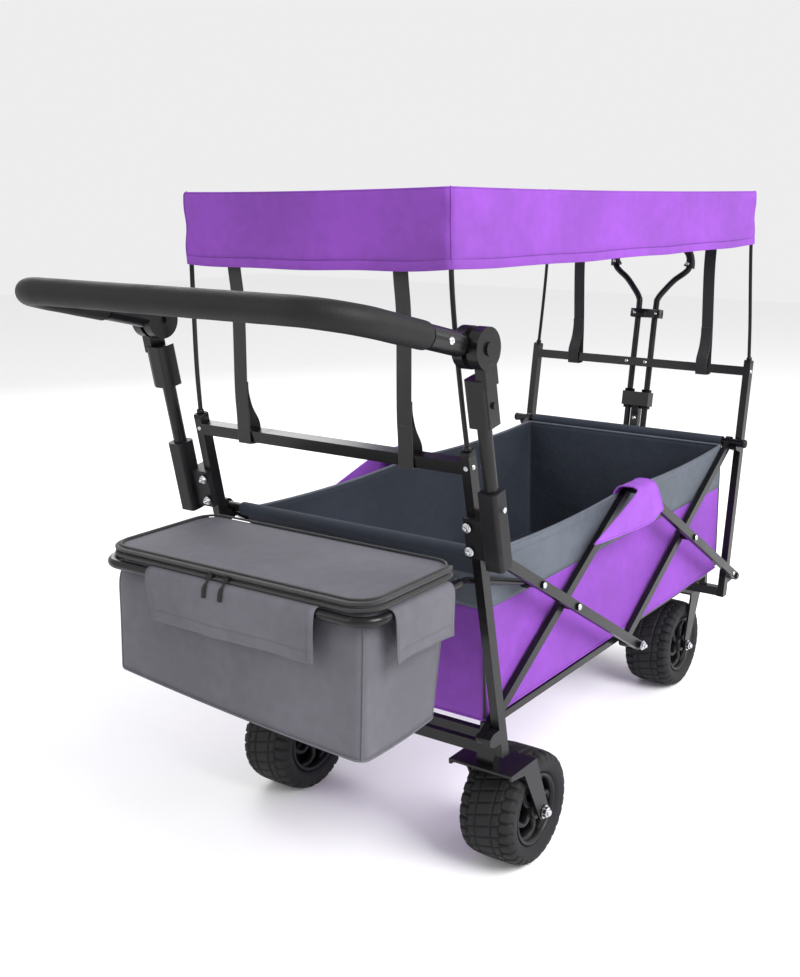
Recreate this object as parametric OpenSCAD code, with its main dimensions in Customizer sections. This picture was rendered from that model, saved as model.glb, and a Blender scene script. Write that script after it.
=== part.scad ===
// Folding pull wagon with scissor sides, fabric tub, canopy, push bar,
// telescoping pull handle, two casters and a rear storage bag.
// Units are millimetres, +X is the pull handle end, +Z is up.
// Origin on the ground midway between the two end frames.

/* [Overall] */
// Distance between the pivots of the two end frames when open
pivot_span = 917; // [760:1:1110]
// Distance between the end posts across the wagon, centre to centre
post_track = 500; // [460:1:600]
// Height of the canopy top above ground
canopy_height = 1027; // [960:1:1200]
// Height of the post tops above ground
post_top = 684; // [640:1:720]

/* [Wheels] */
// Tyre diameter
wheel_d = 180; // [160:1:186]
// Tyre width
wheel_w = 96; // [60:1:102]
// Axle bolt diameter
axle_d = 10; // [8:0.5:12]
// Rear wheel centre, distance from the middle
rear_axle_x = 352; // [340:1:370]
// Caster swivel axis, distance from the middle
swivel_x = 446; // [440:1:470]
// Distance of the caster axle behind its swivel axis
caster_trail = 38; // [30:1:50]
// Half distance between the front wheels
front_track = 128; // [120:1:150]

/* [Frame] */
// Post size along the wagon
post_x = 18; // [14:0.5:22]
// Post size across the wagon
post_y = 14; // [12:0.5:16]
// Outward lean of the posts in degrees
post_lean = 10.6; // [6:0.1:12]
// Scissor bar face height
bar_h = 16; // [14:0.5:20]
// Scissor bar thickness
bar_t = 10; // [8:0.5:10]
// Height of the lower scissor pivots
pivot_low = 245; // [240:1:250]
// Height of the upper scissor pivots
pivot_high = 526; // [500:1:540]
// Pivot pin diameter
pin_d = 7; // [5:0.5:8]
// Diameter of the cross tubes that carry the tub
cross_d = 16; // [12:0.5:18]
// Clear gap between a pin and its bore
fit = 0.1; // [0.05:0.05:0.1]

/* [Push bar] */
// Push tube diameter
push_d = 20; // [16:0.5:22]
// Diameter of the spring plungers that lock the push tubes
snap_d = 8; // [6:0.5:9]
// Foam grip diameter
foam_d = 36; // [30:1:40]
// Reach of the push bar behind its joints
push_reach = 263; // [220:1:300]
// Rise of the push bar in degrees
push_rise = 14; // [0:1:20]

/* [Pull handle] */
// Rod spacing, centre to centre
pull_gap = 40; // [36:1:48]
// Rod diameter
pull_d = 13; // [10:0.5:14]
// Overall width of the grip loop
grip_w = 190; // [150:1:200]

/* [Tub and bag] */
// Height of the tub rim
tub_top = 522; // [500:1:530]
// Height of the tub underside
tub_floor = 262; // [260:1:275]
// Fabric thickness of the tub
tub_t = 3; // [2:0.5:5]
// Width of the storage bag
bag_w = 464; // [400:1:468]
// Diameter of the tube that carries the storage bag
basket_d = 14; // [10:0.5:16]
// Underside of the storage bag above ground
bag_low = 322; // [300:1:360]

/* [Hidden] */
$fn = 48;
px = pivot_span / 2;                 // lower and upper outer pivot distance
post_base_x = px - 33.5;             // post centre line at its foot
post_base_z = 208;                   // foot height of the posts
py = post_track / 2;                 // post centre across
in_y = py - post_y / 2 - 1 - bar_t / 2;   // inner bar plane
out_y = py + post_y / 2 + 1 + bar_t / 2;  // outer bar plane
mid_z = (pivot_low + pivot_high) / 2;
tilt = atan2(pivot_high - pivot_low, px); // bar angle when open
tub_y = in_y - bar_t / 2 - 3;        // outer face of the tub sides
tub_x = px - 18.5;                   // outer face of the tub ends
axle_z = wheel_d / 2;
post_len = (post_top - post_base_z) / cos(post_lean);
beam_x = post_base_x + 2;
rear_wheel_y = py - 25;
plate_z = 186;                       // underside of the wheel bracket plates
push_y = py + 42;                    // push tube axis across
joint_z = 835;                       // axis of the push bar's ratchet joints
joint_l = (joint_z - post_base_z + 15 * sin(post_lean)) / cos(post_lean);   // the same, up the leaning post
joint_x = -(post_base_x + 15 * cos(post_lean) + joint_l * sin(post_lean));
bar_axis_y = push_y - 8;             // push bar arm axis across
basket_x = -(px - 118.5);            // basket pivot on the outer rear bar
basket_z = pivot_low + (pivot_high - pivot_low) * (-basket_x) / px;
bag_y = bag_w / 2;
strap_y = 152;
rail_y = tub_y - 7;

// rearmost point of the push bar grip and foremost point of the pull grip
rear_end = joint_x - push_reach * cos(push_rise) - foam_d / 2;
grip_lz = 730;
front_end = post_base_x + 20 * cos(post_lean) + grip_lz * sin(post_lean) + pull_d / 2 + 3.5;
shift = -(rear_end + front_end) / 2;   // puts the origin under the middle of the overall box

black = [0.09, 0.09, 0.1];
plastic = [0.14, 0.14, 0.15];
zinc = [0.75, 0.76, 0.78];
purple = [0.5, 0.25, 0.75];
grey = [0.4, 0.4, 0.43];

// ---------- helpers ----------

// shift every node to the row origin
module placed() {
  translate([shift, 0, 0]) children();
}

// round rod between two points
module rod(p, q, r) {
  v = q - p;
  l = norm(v);
  translate(p) rotate([0, acos(v[2] / l), atan2(v[1], v[0])]) cylinder(r = r, h = l);
}

// bent round tube through a list of points
module path(pts, r) {
  for (i = [0 : len(pts) - 2]) rod(pts[i], pts[i + 1], r);
  for (i = [1 : len(pts) - 2]) translate(pts[i]) sphere(r = r + 0.25);
}

// cylinder along Y from y0 to y1 at x, z
module ycyl(x, z, y0, y1, r) {
  translate([x, max(y0, y1), z]) rotate([90, 0, 0]) cylinder(r = r, h = abs(y1 - y0));
}

// plate in the XZ plane with outline pts between two Y values
module yplate(y0, y1, pts) {
  translate([0, max(y0, y1), 0]) rotate([90, 0, 0])
    linear_extrude(height = abs(y1 - y0)) polygon(pts);
}

// mirror a right hand part to the left hand side
module side(s) {
  if (s > 0) children();
  else mirror([0, 1, 0]) children();
}

// mirror a rear part to the front
module end(e) {
  if (e < 0) children();
  else mirror([1, 0, 0]) children();
}

// frame of the rear end: Z runs up the leaning post centre line
module lean() {
  translate([-post_base_x, 0, post_base_z]) rotate([0, -post_lean, 0]) children();
}

// straight scissor bar between two XZ points in a Y plane, holes listed as [x, z, r]
module bar(a, b, y, eye_a, eye_b, holes) {
  l = norm([b[0] - a[0], b[1] - a[1]]);
  ang = atan2(b[1] - a[1], b[0] - a[0]);
  difference() {
    union() {
      translate([a[0], y, a[1]]) rotate([0, -ang, 0])
        translate([1, -bar_t / 2, -bar_h / 2]) cube([l - 2, bar_t, bar_h]);
      ycyl(a[0], a[1], y - bar_t / 2 - 0.2, y + bar_t / 2 + 0.2, eye_a);
      ycyl(b[0], b[1], y - bar_t / 2 - 0.2, y + bar_t / 2 + 0.2, eye_b);
    }
    for (h = holes) ycyl(h[0], h[1], y - bar_t, y + bar_t, h[2]);
  }
}

// pin with spacer collar and domed head, running across from y0 to y1
module pin(x, z, y0, y1, c0, c1) {
  s = y1 > y0 ? 1 : -1;
  ycyl(x, z, y0, y1, pin_d / 2);
  if (abs(c1 - c0) > 0) ycyl(x, z, c0, c1, pin_d / 2 + 4);
  ycyl(x, z, y1, y1 + s * 3, pin_d / 2 + 2.5);
}

ph = pin_d / 2 + fit;               // bore radius for a pin

// ---------- end frames ----------

module post(e, s) {
  color(black) end(e) side(s) difference() {
    union() {
      // leaning square post, foot cut level
      difference() {
        lean() translate([-post_x / 2, -py - post_y / 2, -12]) cube([post_x, post_y, post_len + 12]);
        translate([-post_base_x - 40, -py - 20, post_base_z - 40]) cube([80, 40, 40]);
      }
      // fold lug with its pin
      yplate(-py - post_y / 2, -py + post_y / 2,
        [[-post_base_x - 8, pivot_low - 12], [-px, pivot_low - 11], [-px - 10, pivot_low - 5],
         [-px - 10, pivot_low + 5], [-px, pivot_low + 11], [-post_base_x - 14, pivot_low + 12]]);
      if (e < 0) pin(-px, pivot_low, -py, -in_y + bar_t / 2 + 0.4, 0, 0);
      else pin(-px, pivot_low, -py, -out_y - bar_t / 2 - 0.4, 0, 0);
      // cradle under the cross tube
      yplate(-py - post_y / 2, -py + post_y / 2,
        [[-post_base_x - (pivot_high - 24 - post_base_z) * tan(post_lean), pivot_high - 24],
         [-px + 8, pivot_high - 13], [-px + 11, pivot_high - 5],
         [-px - 6, pivot_high - 3], [-post_base_x - (pivot_high + 4 - post_base_z) * tan(post_lean), pivot_high + 4]]);
    }
    ycyl(-px, pivot_high, -py - 20, -py + 20, cross_d / 2 + fit);
    // hole for the canopy rod in the post top
    lean() translate([0, -py, post_len - 20]) cylinder(r = 3, h = 30);
  }
}

module crossbar(e) {
  z = 657;
  color(black) end(e) lean() translate([-9, -py + post_y / 2, (z - post_base_z) / cos(post_lean)])
    cube([18, post_track - post_y, 18]);
}

module beam_box(x, w, z0, h) {
  translate([-x - w / 2, -py + post_y / 2, z0]) cube([w, post_track - post_y, h]);
}

module rear_beam() {
  color(black) beam_box(post_base_x + 2, 16, 206, 18);
}

module rails(e) {
  y = e < 0 ? rail_y : rail_y - 14;
  x0 = -(post_base_x + 8);
  color(black) end(e) union() {
    for (s = [-1, 1]) {
      translate([x0, s * y - 6, 244.5]) cube([-x0 + 18, 12, 11.5]);
      translate([x0, s * y - 6, e < 0 ? 224 : 226]) cube([12, 12, e < 0 ? 21 : 19]);
    }
    translate([x0, -y - 6, 229]) cube([12, 2 * y + 12, 14.5]);
  }
}

module canopy_rod(e, s) {
  top = [-(px + 71.5), -(py - 14), canopy_height - 6];
  knee = [-(px + 71.5), -(py - 14), canopy_height - 122];
  foot = [-(post_base_x + (post_top + 2 - post_base_z) * tan(post_lean)), -py, post_top + 2];
  color(plastic) end(e) side(s) union() {
    path([foot, knee, top], 3.5);
    // ferrule standing on the post top, with its plug
    lean() translate([0, -py, post_len]) cylinder(r = 5.5, h = 9);
    lean() translate([0, -py, post_len - 14]) cylinder(r = 3, h = 18);
  }
}

// webbing strap: a flat band from the canopy hem down and round the crossbar
module strap(e, s) {
  zc = 666;
  xc = -(post_base_x + (zc - post_base_z) * tan(post_lean));
  w = 25;
  color(plastic) end(e) side(s) translate([0, w / 2 - strap_y, 0]) rotate([90, 0, 0])
    linear_extrude(height = w) union() {
      polygon([[-(px + 65), canopy_height - 70], [-(px + 67.5), canopy_height - 70],
        [xc + 15, zc + 26], [xc + 15.5, zc - 10], [xc + 12, zc - 17], [xc - 8, zc - 18],
        [xc - 16, zc - 14], [xc - 15, zc + 12], [xc - 2, zc + 16],
        [xc + 9, zc + 14], [xc + 9, zc + 16.5], [xc - 2, zc + 18.5], [xc - 17.5, zc + 14],
        [xc - 18.5, zc - 15], [xc - 9, zc - 20.5], [xc + 13, zc - 19.5], [xc + 18, zc - 11],
        [xc + 17.5, zc + 26]]);
    }
}

// ---------- scissor sides ----------

module bar_b(s) {
  color(black) side(s) union() {
    bar([-px, pivot_low], [0, pivot_high], -in_y, bar_h / 2 + 0.8, bar_h / 2 + 0.8, [[-px, pivot_low, ph]]);
    // crossing pin and top pin, both reaching out to the outer bars
    for (p = [[-px / 2, mid_z], [0, pivot_high]]) {
      pin(p[0], p[1], -in_y, -out_y - bar_t / 2 - 0.4, -in_y - bar_t / 2, -out_y + bar_t / 2 + 0.3);
    }
  }
}

module bar_a(s) {
  color(black) side(s) union() {
    bar([0, pivot_low], [-px, pivot_high], -out_y, bar_h / 2 + 0.8, cross_d / 2 + 4,
      [[-px / 2, mid_z, ph], [-px, pivot_high, cross_d / 2]]);
    // lower joint pin towards the inner front bar
    ycyl(0, pivot_low, -out_y, -in_y + bar_t / 2 + 0.4, pin_d / 2);
    ycyl(0, pivot_low, -out_y + bar_t / 2 - 1, -in_y - bar_t / 2 - 0.3, pin_d / 2 + 4);
    ycyl(0, pivot_low, -in_y + bar_t / 2 + 0.4, -in_y + bar_t / 2 + 2.4, pin_d / 2 + 2.5);
    ycyl(0, pivot_low, -out_y - bar_t / 2, -out_y - bar_t / 2 - 6, pin_d / 2 + 2.5);
    // basket pin
    ycyl(basket_x, basket_z, -out_y, -in_y + bar_t / 2 + 0.4, 3);
    ycyl(basket_x, basket_z, -out_y + bar_t / 2 - 1, -in_y - bar_t / 2 - 0.3, 7);
    ycyl(basket_x, basket_z, -in_y + bar_t / 2 + 0.4, -in_y + bar_t / 2 + 2.2, 5.5);
    ycyl(basket_x, basket_z, -out_y - bar_t / 2, -out_y - bar_t / 2 - 3, 6);
  }
}

module bar_d(s) {
  color(black) side(s) union() {
    bar([0, pivot_high], [px, pivot_low], -out_y, bar_h / 2 + 0.8, bar_h / 2 + 0.8,
      [[0, pivot_high, ph], [px, pivot_low, ph]]);
    // crossing pin towards the inner front bar
    ycyl(px / 2, mid_z, -out_y, -in_y + bar_t / 2 + 0.4, pin_d / 2);
    ycyl(px / 2, mid_z, -out_y + bar_t / 2 - 1, -in_y - bar_t / 2 - 0.3, pin_d / 2 + 4);
    ycyl(px / 2, mid_z, -in_y + bar_t / 2 + 0.4, -in_y + bar_t / 2 + 2.4, pin_d / 2 + 2.5);
    ycyl(px / 2, mid_z, -out_y - bar_t / 2, -out_y - bar_t / 2 - 3, pin_d / 2 + 2.5);
  }
}

module bar_c(s) {
  color(black) side(s) bar([0, pivot_low], [px, pivot_high], -in_y, bar_h / 2 + 1, cross_d / 2 + 4,
    [[0, pivot_low, ph], [px / 2, mid_z, ph], [px, pivot_high, cross_d / 2]]);
}

module cross_tube(e) {
  color(black) difference() {
    ycyl(e * px, pivot_high, -(out_y + bar_t / 2 + 3), out_y + bar_t / 2 + 3, cross_d / 2);
    ycyl(e * px, pivot_high, -(out_y + 40), -(out_y - 60), cross_d / 2 - 2);
    ycyl(e * px, pivot_high, out_y + 40, out_y - 60, cross_d / 2 - 2);
  }
}

// ---------- wheels ----------

module tyre(x, y) {
  r = wheel_d / 2;
  color(plastic) translate([x, y, axle_z]) rotate([90, 0, 0])
    rotate_extrude($fn = 72) polygon([
      [r - 30, -wheel_w / 2 + 5], [r - 24, -wheel_w / 2 + 1], [r - 10, -wheel_w / 2],
      [r - 3, -wheel_w / 2 + 5], [r, -wheel_w / 2 + 14], [r, wheel_w / 2 - 14],
      [r - 3, wheel_w / 2 - 5], [r - 10, wheel_w / 2], [r - 24, wheel_w / 2 - 1],
      [r - 30, wheel_w / 2 - 5], [r - 34, wheel_w / 2 - 12], [r - 34, -wheel_w / 2 + 12]]);
}

module rim(x, y) {
  r = wheel_d / 2 - 34;
  color(plastic) translate([x, y, axle_z]) rotate([90, 0, 0]) difference() {
    union() {
      // barrel
      rotate_extrude($fn = 72) polygon([[r - 7, -wheel_w / 2 + 8], [r, -wheel_w / 2 + 12],
        [r, wheel_w / 2 - 12], [r - 7, wheel_w / 2 - 8]]);
      // hub
      cylinder(r = 15, h = wheel_w - 2, center = true);
      // spokes
      for (i = [0 : 5]) rotate([0, 0, i * 60]) translate([10, -5, -wheel_w / 2 + 12])
        cube([r - 14, 10, wheel_w - 24]);
    }
    cylinder(r = axle_d / 2 + fit, h = wheel_w + 10, center = true);
  }
}

module rear_bracket(s) {
  y0 = rear_wheel_y - wheel_w / 2 - 4;    // inner arm face
  y1 = rear_wheel_y + wheel_w / 2 + 4;    // outer arm face
  arm = [[-rear_axle_x - 96, plate_z + 4], [-rear_axle_x - 24, plate_z + 4], [-rear_axle_x + 13, axle_z + 4],
    [-rear_axle_x + 8, axle_z - 11], [-rear_axle_x - 8, axle_z - 11], [-rear_axle_x - 16, axle_z + 2],
    [-rear_axle_x - 58, plate_z - 10], [-rear_axle_x - 96, plate_z - 4]];
  color(black) side(s) union() {
    translate([-rear_axle_x - 96, -y1 - 4, plate_z]) cube([72, y1 - y0 + 8, 4]);
    yplate(-y1 - 4, -y1, arm);
    yplate(-y0, -y0 + 4, arm);
    // riser to the beam
    translate([-beam_x - 8, -py + 9, plate_z + 3]) cube([16, 30, 17]);
    // axle bolt, washers and nut
    ycyl(-rear_axle_x, axle_z, -y0 + 8, -y1 - 6, axle_d / 2);
    ycyl(-rear_axle_x, axle_z, -y1 - 4, -y1 - 10, 8);
    ycyl(-rear_axle_x, axle_z, -y0 + 4, -y0 + 9, 8);
    ycyl(-rear_axle_x, axle_z, -y0, -y0 - 4.5, 8);
    ycyl(-rear_axle_x, axle_z, -y1, -y1 + 4.5, 8);
  }
}

module front_beam() {
  color(black) union() {
    translate([post_base_x - 6, -py + post_y / 2, 208]) cube([16, post_track - post_y, 18]);
    for (s = [-1, 1]) translate([0, s * front_track, 0]) {
      // swivel head
      translate([post_base_x - 2, -18, 208]) cube([swivel_x - post_base_x + 6, 36, 16]);
      translate([swivel_x, 0, 204]) cylinder(r = 22, h = 20);
      translate([swivel_x, 0, 190]) cylinder(r = 6, h = 16);
      translate([swivel_x, 0, 184.5]) cylinder(r = 9, h = 6);
    }
    // pull handle lugs with their pin
    for (s = [-1, 1]) translate([post_base_x + 6, s * 15 - 3, 204]) cube([34, 6, 22]);
    ycyl(pull_x, pull_z, -19, 19, 4);
  }
}

module fork(s) {
  y0 = wheel_w / 2 + 4;
  color(black) side(s) translate([swivel_x, -front_track, 195.5]) union() {
    difference() {
      translate([-22, -y0 - 4, 0]) cube([46, 2 * y0 + 8, 4]);
      translate([0, 0, -20]) cylinder(r = 6 + fit, h = 40);
    }
    translate([0, 0, 4]) difference() {
      cylinder(r = 18, h = 4);
      translate([0, 0, -20]) cylinder(r = 6 + fit, h = 40);
    }
    for (k = [-1, 1]) {
      yplate(k * y0, k * (y0 + 4), [[-22, 4], [24, 4], [24, -6],
        [-caster_trail + 12, axle_z - 195.5], [-caster_trail + 8, axle_z - 205.5],
        [-caster_trail - 8, axle_z - 205.5], [-caster_trail - 12, axle_z - 195.5], [-22, -6]]);
      ycyl(-caster_trail, axle_z - 195.5, k * (y0 + 3), k * (y0 + 9), 8);
      ycyl(-caster_trail, axle_z - 195.5, k * y0, k * (y0 - 4.5), 8);
    }
    ycyl(-caster_trail, axle_z - 195.5, -y0 - 8, y0 + 8, axle_d / 2);
  }
}

// ---------- push bar ----------

sleeve_lo = (531 - post_base_z) / cos(post_lean);
sleeve_hi = (643 - post_base_z) / cos(post_lean);
tube_in = 2;                          // how far the tube's lower end sits inside its sleeve

module rounded_box(x, y, z0, z1, w, r) {
  translate([x, y, z0]) linear_extrude(height = z1 - z0) union() {
    square([w, w - 2 * r], center = true);
    square([w - 2 * r, w], center = true);
    for (i = [-1, 1], j = [-1, 1]) translate([i * (w / 2 - r), j * (w / 2 - r)]) circle(r = r);
  }
}

module sleeve(s) {
  color(plastic) side(s) lean() difference() {
    union() {
      rounded_box(-15, -push_y, sleeve_lo, sleeve_hi, 30, 6);
      // clamp round the post
      translate([-post_x / 2 - 10, -push_y + 8, sleeve_lo + 8]) cube([post_x + 16, push_y - 8 - py + post_y / 2, 60]);
      // clamp bolts
      for (z = [20, 56]) translate([-post_x / 2 - 13, -py, sleeve_lo + z]) rotate([0, 90, 0]) cylinder(r = 5, h = 6);
    }
    translate([-post_x / 2, -py - post_y / 2, 0]) cube([post_x + 20, post_y + 20, 600]);
    translate([-15, -push_y, 0]) cylinder(r = push_d / 2 + fit, h = 900);
    // bore for the spring plunger
    translate([-15, -push_y, sleeve_hi - 25]) rotate([90, 0, 0]) cylinder(r = snap_d / 2 + fit, h = 40);
  }
}

module push_tube(s) {
  color(black) side(s) lean() difference() {
    union() {
      translate([-15, -push_y, sleeve_lo + tube_in]) cylinder(r = push_d / 2, h = joint_l - 60 - sleeve_lo - tube_in);
      // lower half of the ratchet joint
      rounded_box(-15, -push_y, joint_l - 105, joint_l - 40, 32, 7);
      translate([-27, -push_y - 18, joint_l - 105]) cube([24, 10, 70]);
      translate([-29, -push_y - 20, joint_l - 50]) cube([28, 16, 50]);
      translate([-15, -push_y - 4, joint_l]) rotate([90, 0, 0]) cylinder(r = 28, h = 16);
      // joint bolt
      translate([-15, -push_y + 14, joint_l]) rotate([90, 0, 0]) cylinder(r = 5, h = 20);
      translate([-15, -push_y - 20, joint_l]) rotate([90, 0, 0]) cylinder(r = 9, h = 3);
      // socket rivet
      translate([-15, -push_y - 16, joint_l - 76]) rotate([90, 0, 0]) cylinder(r = 4.5, h = 5);
    }
    // room for the upper half of the joint
    translate([-15, -push_y + 30, joint_l]) rotate([90, 0, 0]) difference() {
      cylinder(r = 31, h = 33.5);
      cylinder(r = 5, h = 40);
    }
  }
}

module push_frame() {
  translate([joint_x, 0, joint_z]) rotate([0, push_rise, 0]) children();
}

corner_r = 70;

// one arm and corner of a tube of radius r from local x = start
module push_run(r, start) {
  c = corner_r;
  for (s = [-1, 1]) {
    translate([-push_reach + c, s * bar_axis_y, 0]) rotate([0, 90, 0])
      cylinder(r = r, h = push_reach - c - start);
    translate([-push_reach + c, s * (bar_axis_y - c), 0]) rotate([0, 0, s > 0 ? 90 : 180])
      rotate_extrude(angle = 90, $fn = 64) translate([c, 0]) circle(r = r, $fn = 32);
  }
  translate([-push_reach, -bar_axis_y + c, 0]) rotate([-90, 0, 0]) cylinder(r = r, h = 2 * bar_axis_y - 2 * c);
}

module push_bar() {
  color(black) push_frame() difference() {
    union() {
      push_run(push_d / 2, 40);
      for (s = [-1, 1]) {
        // socket
        translate([-100, s * bar_axis_y, 0]) rotate([0, 90, 0]) cylinder(r = 16, h = 70);
        // upper ratchet disc
        translate([0, s * (bar_axis_y + 4), 0]) rotate([s * 90, 0, 0]) cylinder(r = 28, h = 15);
        translate([-36, s * bar_axis_y - 12, -13]) cube([30, 24, 26]);
      }
    }
    for (s = [-1, 1]) {
      translate([0, s * (bar_axis_y + 30), 0]) rotate([s * 90, 0, 0]) cylinder(r = 5 + fit, h = 80);
      // room for the lower half of the joint
      translate([0, s * (bar_axis_y + 4.2), 0]) rotate([-s * 90, 0, 0]) cylinder(r = 31, h = 40);
    }
  }
}

module push_foam() {
  color(plastic) push_frame() difference() {
    push_run(foam_d / 2, 101);
    push_run(push_d / 2, 50);
  }
}

// spring plunger in the sleeve, its inner end just clear of the tube
module snap(s) {
  inner = push_d / 2 + 0.3;
  color(zinc) side(s) lean() translate([-15, -push_y - inner, sleeve_hi - 25]) rotate([90, 0, 0])
    cylinder(r = snap_d / 2, h = 19 - inner);
}

// ---------- pull handle ----------

pull_off = 20;                        // handle axis ahead of the post centre line
pull_lz = 10;
pull_x = post_base_x + pull_off * cos(post_lean) + pull_lz * sin(post_lean);
pull_z = post_base_z - pull_off * sin(post_lean) + pull_lz * cos(post_lean);

module pull_frame() {
  translate([post_base_x, 0, post_base_z]) rotate([0, post_lean, 0]) translate([pull_off, 0, 0]) children();
}

module pull_arm() {
  color(black) pull_frame() difference() {
    union() {
      translate([-7, -9, pull_lz]) cube([14, 18, 372]);
      translate([0, 9, pull_lz]) rotate([90, 0, 0]) cylinder(r = 8, h = 18);
      // guide block
      translate([-12, -pull_gap / 2 - 11, 372]) cube([24, pull_gap + 22, 30]);
    }
    for (s = [-1, 1]) translate([0, s * pull_gap / 2, 300]) cylinder(r = pull_d / 2 + fit, h = 200);
    translate([0, 20, pull_lz]) rotate([90, 0, 0]) cylinder(r = 4 + fit, h = 40);
  }
}

module pull_grip() {
  g = pull_gap / 2;
  w = grip_w / 2;
  r = pull_d / 2;
  color(black) pull_frame() union() {
    for (s = [-1, 1]) {
      path([[0, s * g, 140], [0, s * g, 596], [0, s * (g + 8), 622], [0, s * (w - 34), 652],
        [0, s * (w - 10), 668], [0, s * (w - 4), 684]], r);
      translate([0, s * (w - 4), 684]) sphere(r = r + 4.3);
      translate([r, s * (w - 4), 684]) rotate([0, 90, 0]) cylinder(r = 4, h = 6);
    }
    // padded grip
    path([[0, -(w - 4), 684], [0, -(w - 12), 706], [0, -(w - 34), 722], [0, 0, grip_lz],
      [0, w - 34, 722], [0, w - 12, 706], [0, w - 4, 684]], r + 3.5);
    // brace and foot bridge
    translate([-6, -g, 566]) cube([12, 2 * g, 12]);
    difference() {
      translate([-11, -g - 7, 138]) cube([22, 2 * g + 14, 14]);
      translate([-8, -10, 130]) cube([16, 20, 30]);
    }
  }
}

// ---------- soft parts ----------

module canopy() {
  x = px + 79.5;
  y = py - 7;
  color(purple) difference() {
    translate([-x, -y, canopy_height - 104]) cube([2 * x, 2 * y, 104]);
    translate([-x + 3, -y + 3, canopy_height - 110]) cube([2 * x - 6, 2 * y - 6, 107]);
  }
}

module tub() {
  color(grey) difference() {
    union() {
      translate([-tub_x, -tub_y, tub_floor]) cube([2 * tub_x, 2 * tub_y, tub_top - tub_floor]);
      for (e = [-1, 1]) {
        ycyl(e * px, pivot_high, -tub_y + 4, tub_y - 4, cross_d / 2 + 3.5);
        translate([e > 0 ? tub_x - 2 : -px, -tub_y + 4, pivot_high - 11.5]) cube([px - tub_x + 2, 2 * tub_y - 8, 7.5]);
      }
    }
    translate([-tub_x + tub_t, -tub_y + tub_t, tub_floor + 4])
      cube([2 * (tub_x - tub_t), 2 * (tub_y - tub_t), 400]);
    for (e = [-1, 1]) ycyl(e * px, pivot_high, -300, 300, cross_d / 2 + fit);
  }
}

module flap(s) {
  y0 = -out_y - bar_t / 2 - 6;
  color(purple) side(s) union() {
    yplate(y0 - 3, y0, [[-42, pivot_high + 16], [44, pivot_high + 16], [118, pivot_high - 56],
      [70, pivot_high - 74], [0, pivot_high - 80], [-70, pivot_high - 74], [-160, pivot_high - 58]]);
    translate([-42, y0 - 3, pivot_high + 13]) cube([86, -y0 - tub_y + 6, 3]);
    translate([-42, -tub_y - 1.5, pivot_high - 10]) cube([86, 1.2, 26]);
  }
}

// level slab with rounded upright corners, from x0 to x1 and y wide to each side
module round_slab(x0, x1, y, z0, z1, r) {
  translate([(x0 + x1) / 2, 0, z0]) linear_extrude(height = z1 - z0) union() {
    square([x1 - x0, 2 * y - 2 * r], center = true);
    square([x1 - x0 - 2 * r, 2 * y], center = true);
    for (i = [-1, 1], j = [-1, 1]) translate([i * ((x1 - x0) / 2 - r), j * (y - r)]) circle(r = r);
  }
}

basket_zt = basket_z + 52;           // centre line of the basket frame tube
basket_rear = -(px + 266);           // the same, across the back
bag_rear = basket_rear + basket_d / 2 + 1;
bag_front = -(px + 64);
bag_corner = 20;

module basket_frame() {
  zt = basket_zt;
  y1 = bag_y + basket_d / 2 + 5;
  xr = basket_rear;
  r = basket_d / 2;
  c = bag_corner + 14;
  color(black) difference() {
    union() {
      for (s = [-1, 1]) {
        rod([basket_x - 8, s * in_y, basket_z + 2], [-(px + 40), s * in_y, zt - 6], 5);
        translate([-(px + 40), s * in_y, zt - 6]) sphere(r = 5.3);
        rod([-(px + 40), s * in_y, zt - 6], [-(px + 72), s * y1, zt], 5);
        translate([-(px + 72), s * y1, zt]) sphere(r = r + 0.4);
        translate([xr + c, s * y1, zt]) rotate([0, 90, 0]) cylinder(r = r, h = -(px + 72) - xr - c);
        translate([xr + c, s * (y1 - c), zt]) rotate([0, 0, s > 0 ? 90 : 180])
          rotate_extrude(angle = 90, $fn = 64) translate([c, 0]) circle(r = r, $fn = 32);
        ycyl(basket_x, basket_z, s * (in_y - 4.5), s * (in_y + 4.5), 10);
      }
      translate([xr, -y1 + c, zt]) rotate([-90, 0, 0]) cylinder(r = r, h = 2 * y1 - 2 * c);
    }
    for (s = [-1, 1]) ycyl(basket_x, basket_z, s * (in_y - 12), s * (in_y + 12), 3 + fit);
  }
}

module storage_bag() {
  zt = basket_zt;
  xr = bag_rear;
  y = bag_y;
  g = basket_d + 3.5;                // room for the frame tube in its channel
  top = zt + basket_d / 2 + 2;
  color(grey) difference() {
    union() {
      round_slab(xr, bag_front, y, bag_low, top, bag_corner);
      // flaps folded over the frame tube
      translate([xr - g - 2.5, -y + 125, zt - 62]) cube([g + 4.5, 2 * y - 185, top - zt + 62]);
      for (s = [-1, 1]) translate([xr + 40, s > 0 ? y - 2 : -y - g - 7, zt - 60])
        cube([100, g + 9, top - zt + 60]);
    }
    round_slab(xr + 4, bag_front - 4, y - 4, bag_low + 4, bag_low + 400, bag_corner - 4);
    // channel for the frame tube, open below
    translate([xr - g, -y - g - 4, zt - 90]) cube([g, 2 * (y + g + 4), top - zt + 88.5]);
    for (s = [-1, 1]) translate([xr - g, s > 0 ? y : -y - g - 4, zt - 90])
      cube([bag_front - xr + 40, g + 4, top - zt + 88.5]);
  }
}

module bag_lid() {
  zt = basket_zt + basket_d / 2 + 2.5;
  xr = bag_rear;
  xf = bag_front;
  color(grey) union() {
    round_slab(xr, xf + 2.2, bag_y, zt, zt + 8, bag_corner);
    // sewn hinge roll along the front edge
    ycyl(xf + 2.2, zt, -bag_y + bag_corner, bag_y - bag_corner, 2);
    round_slab(xr + 14, xf - 14, bag_y - 14, zt + 7, zt + 14, bag_corner - 8);
    // zip pulls
    for (d = [0, 16]) translate([xr - 5, 60 + d, zt + 0.3]) cube([6, 7, 10]);
  }
}

// ---------- node switch ----------

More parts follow.
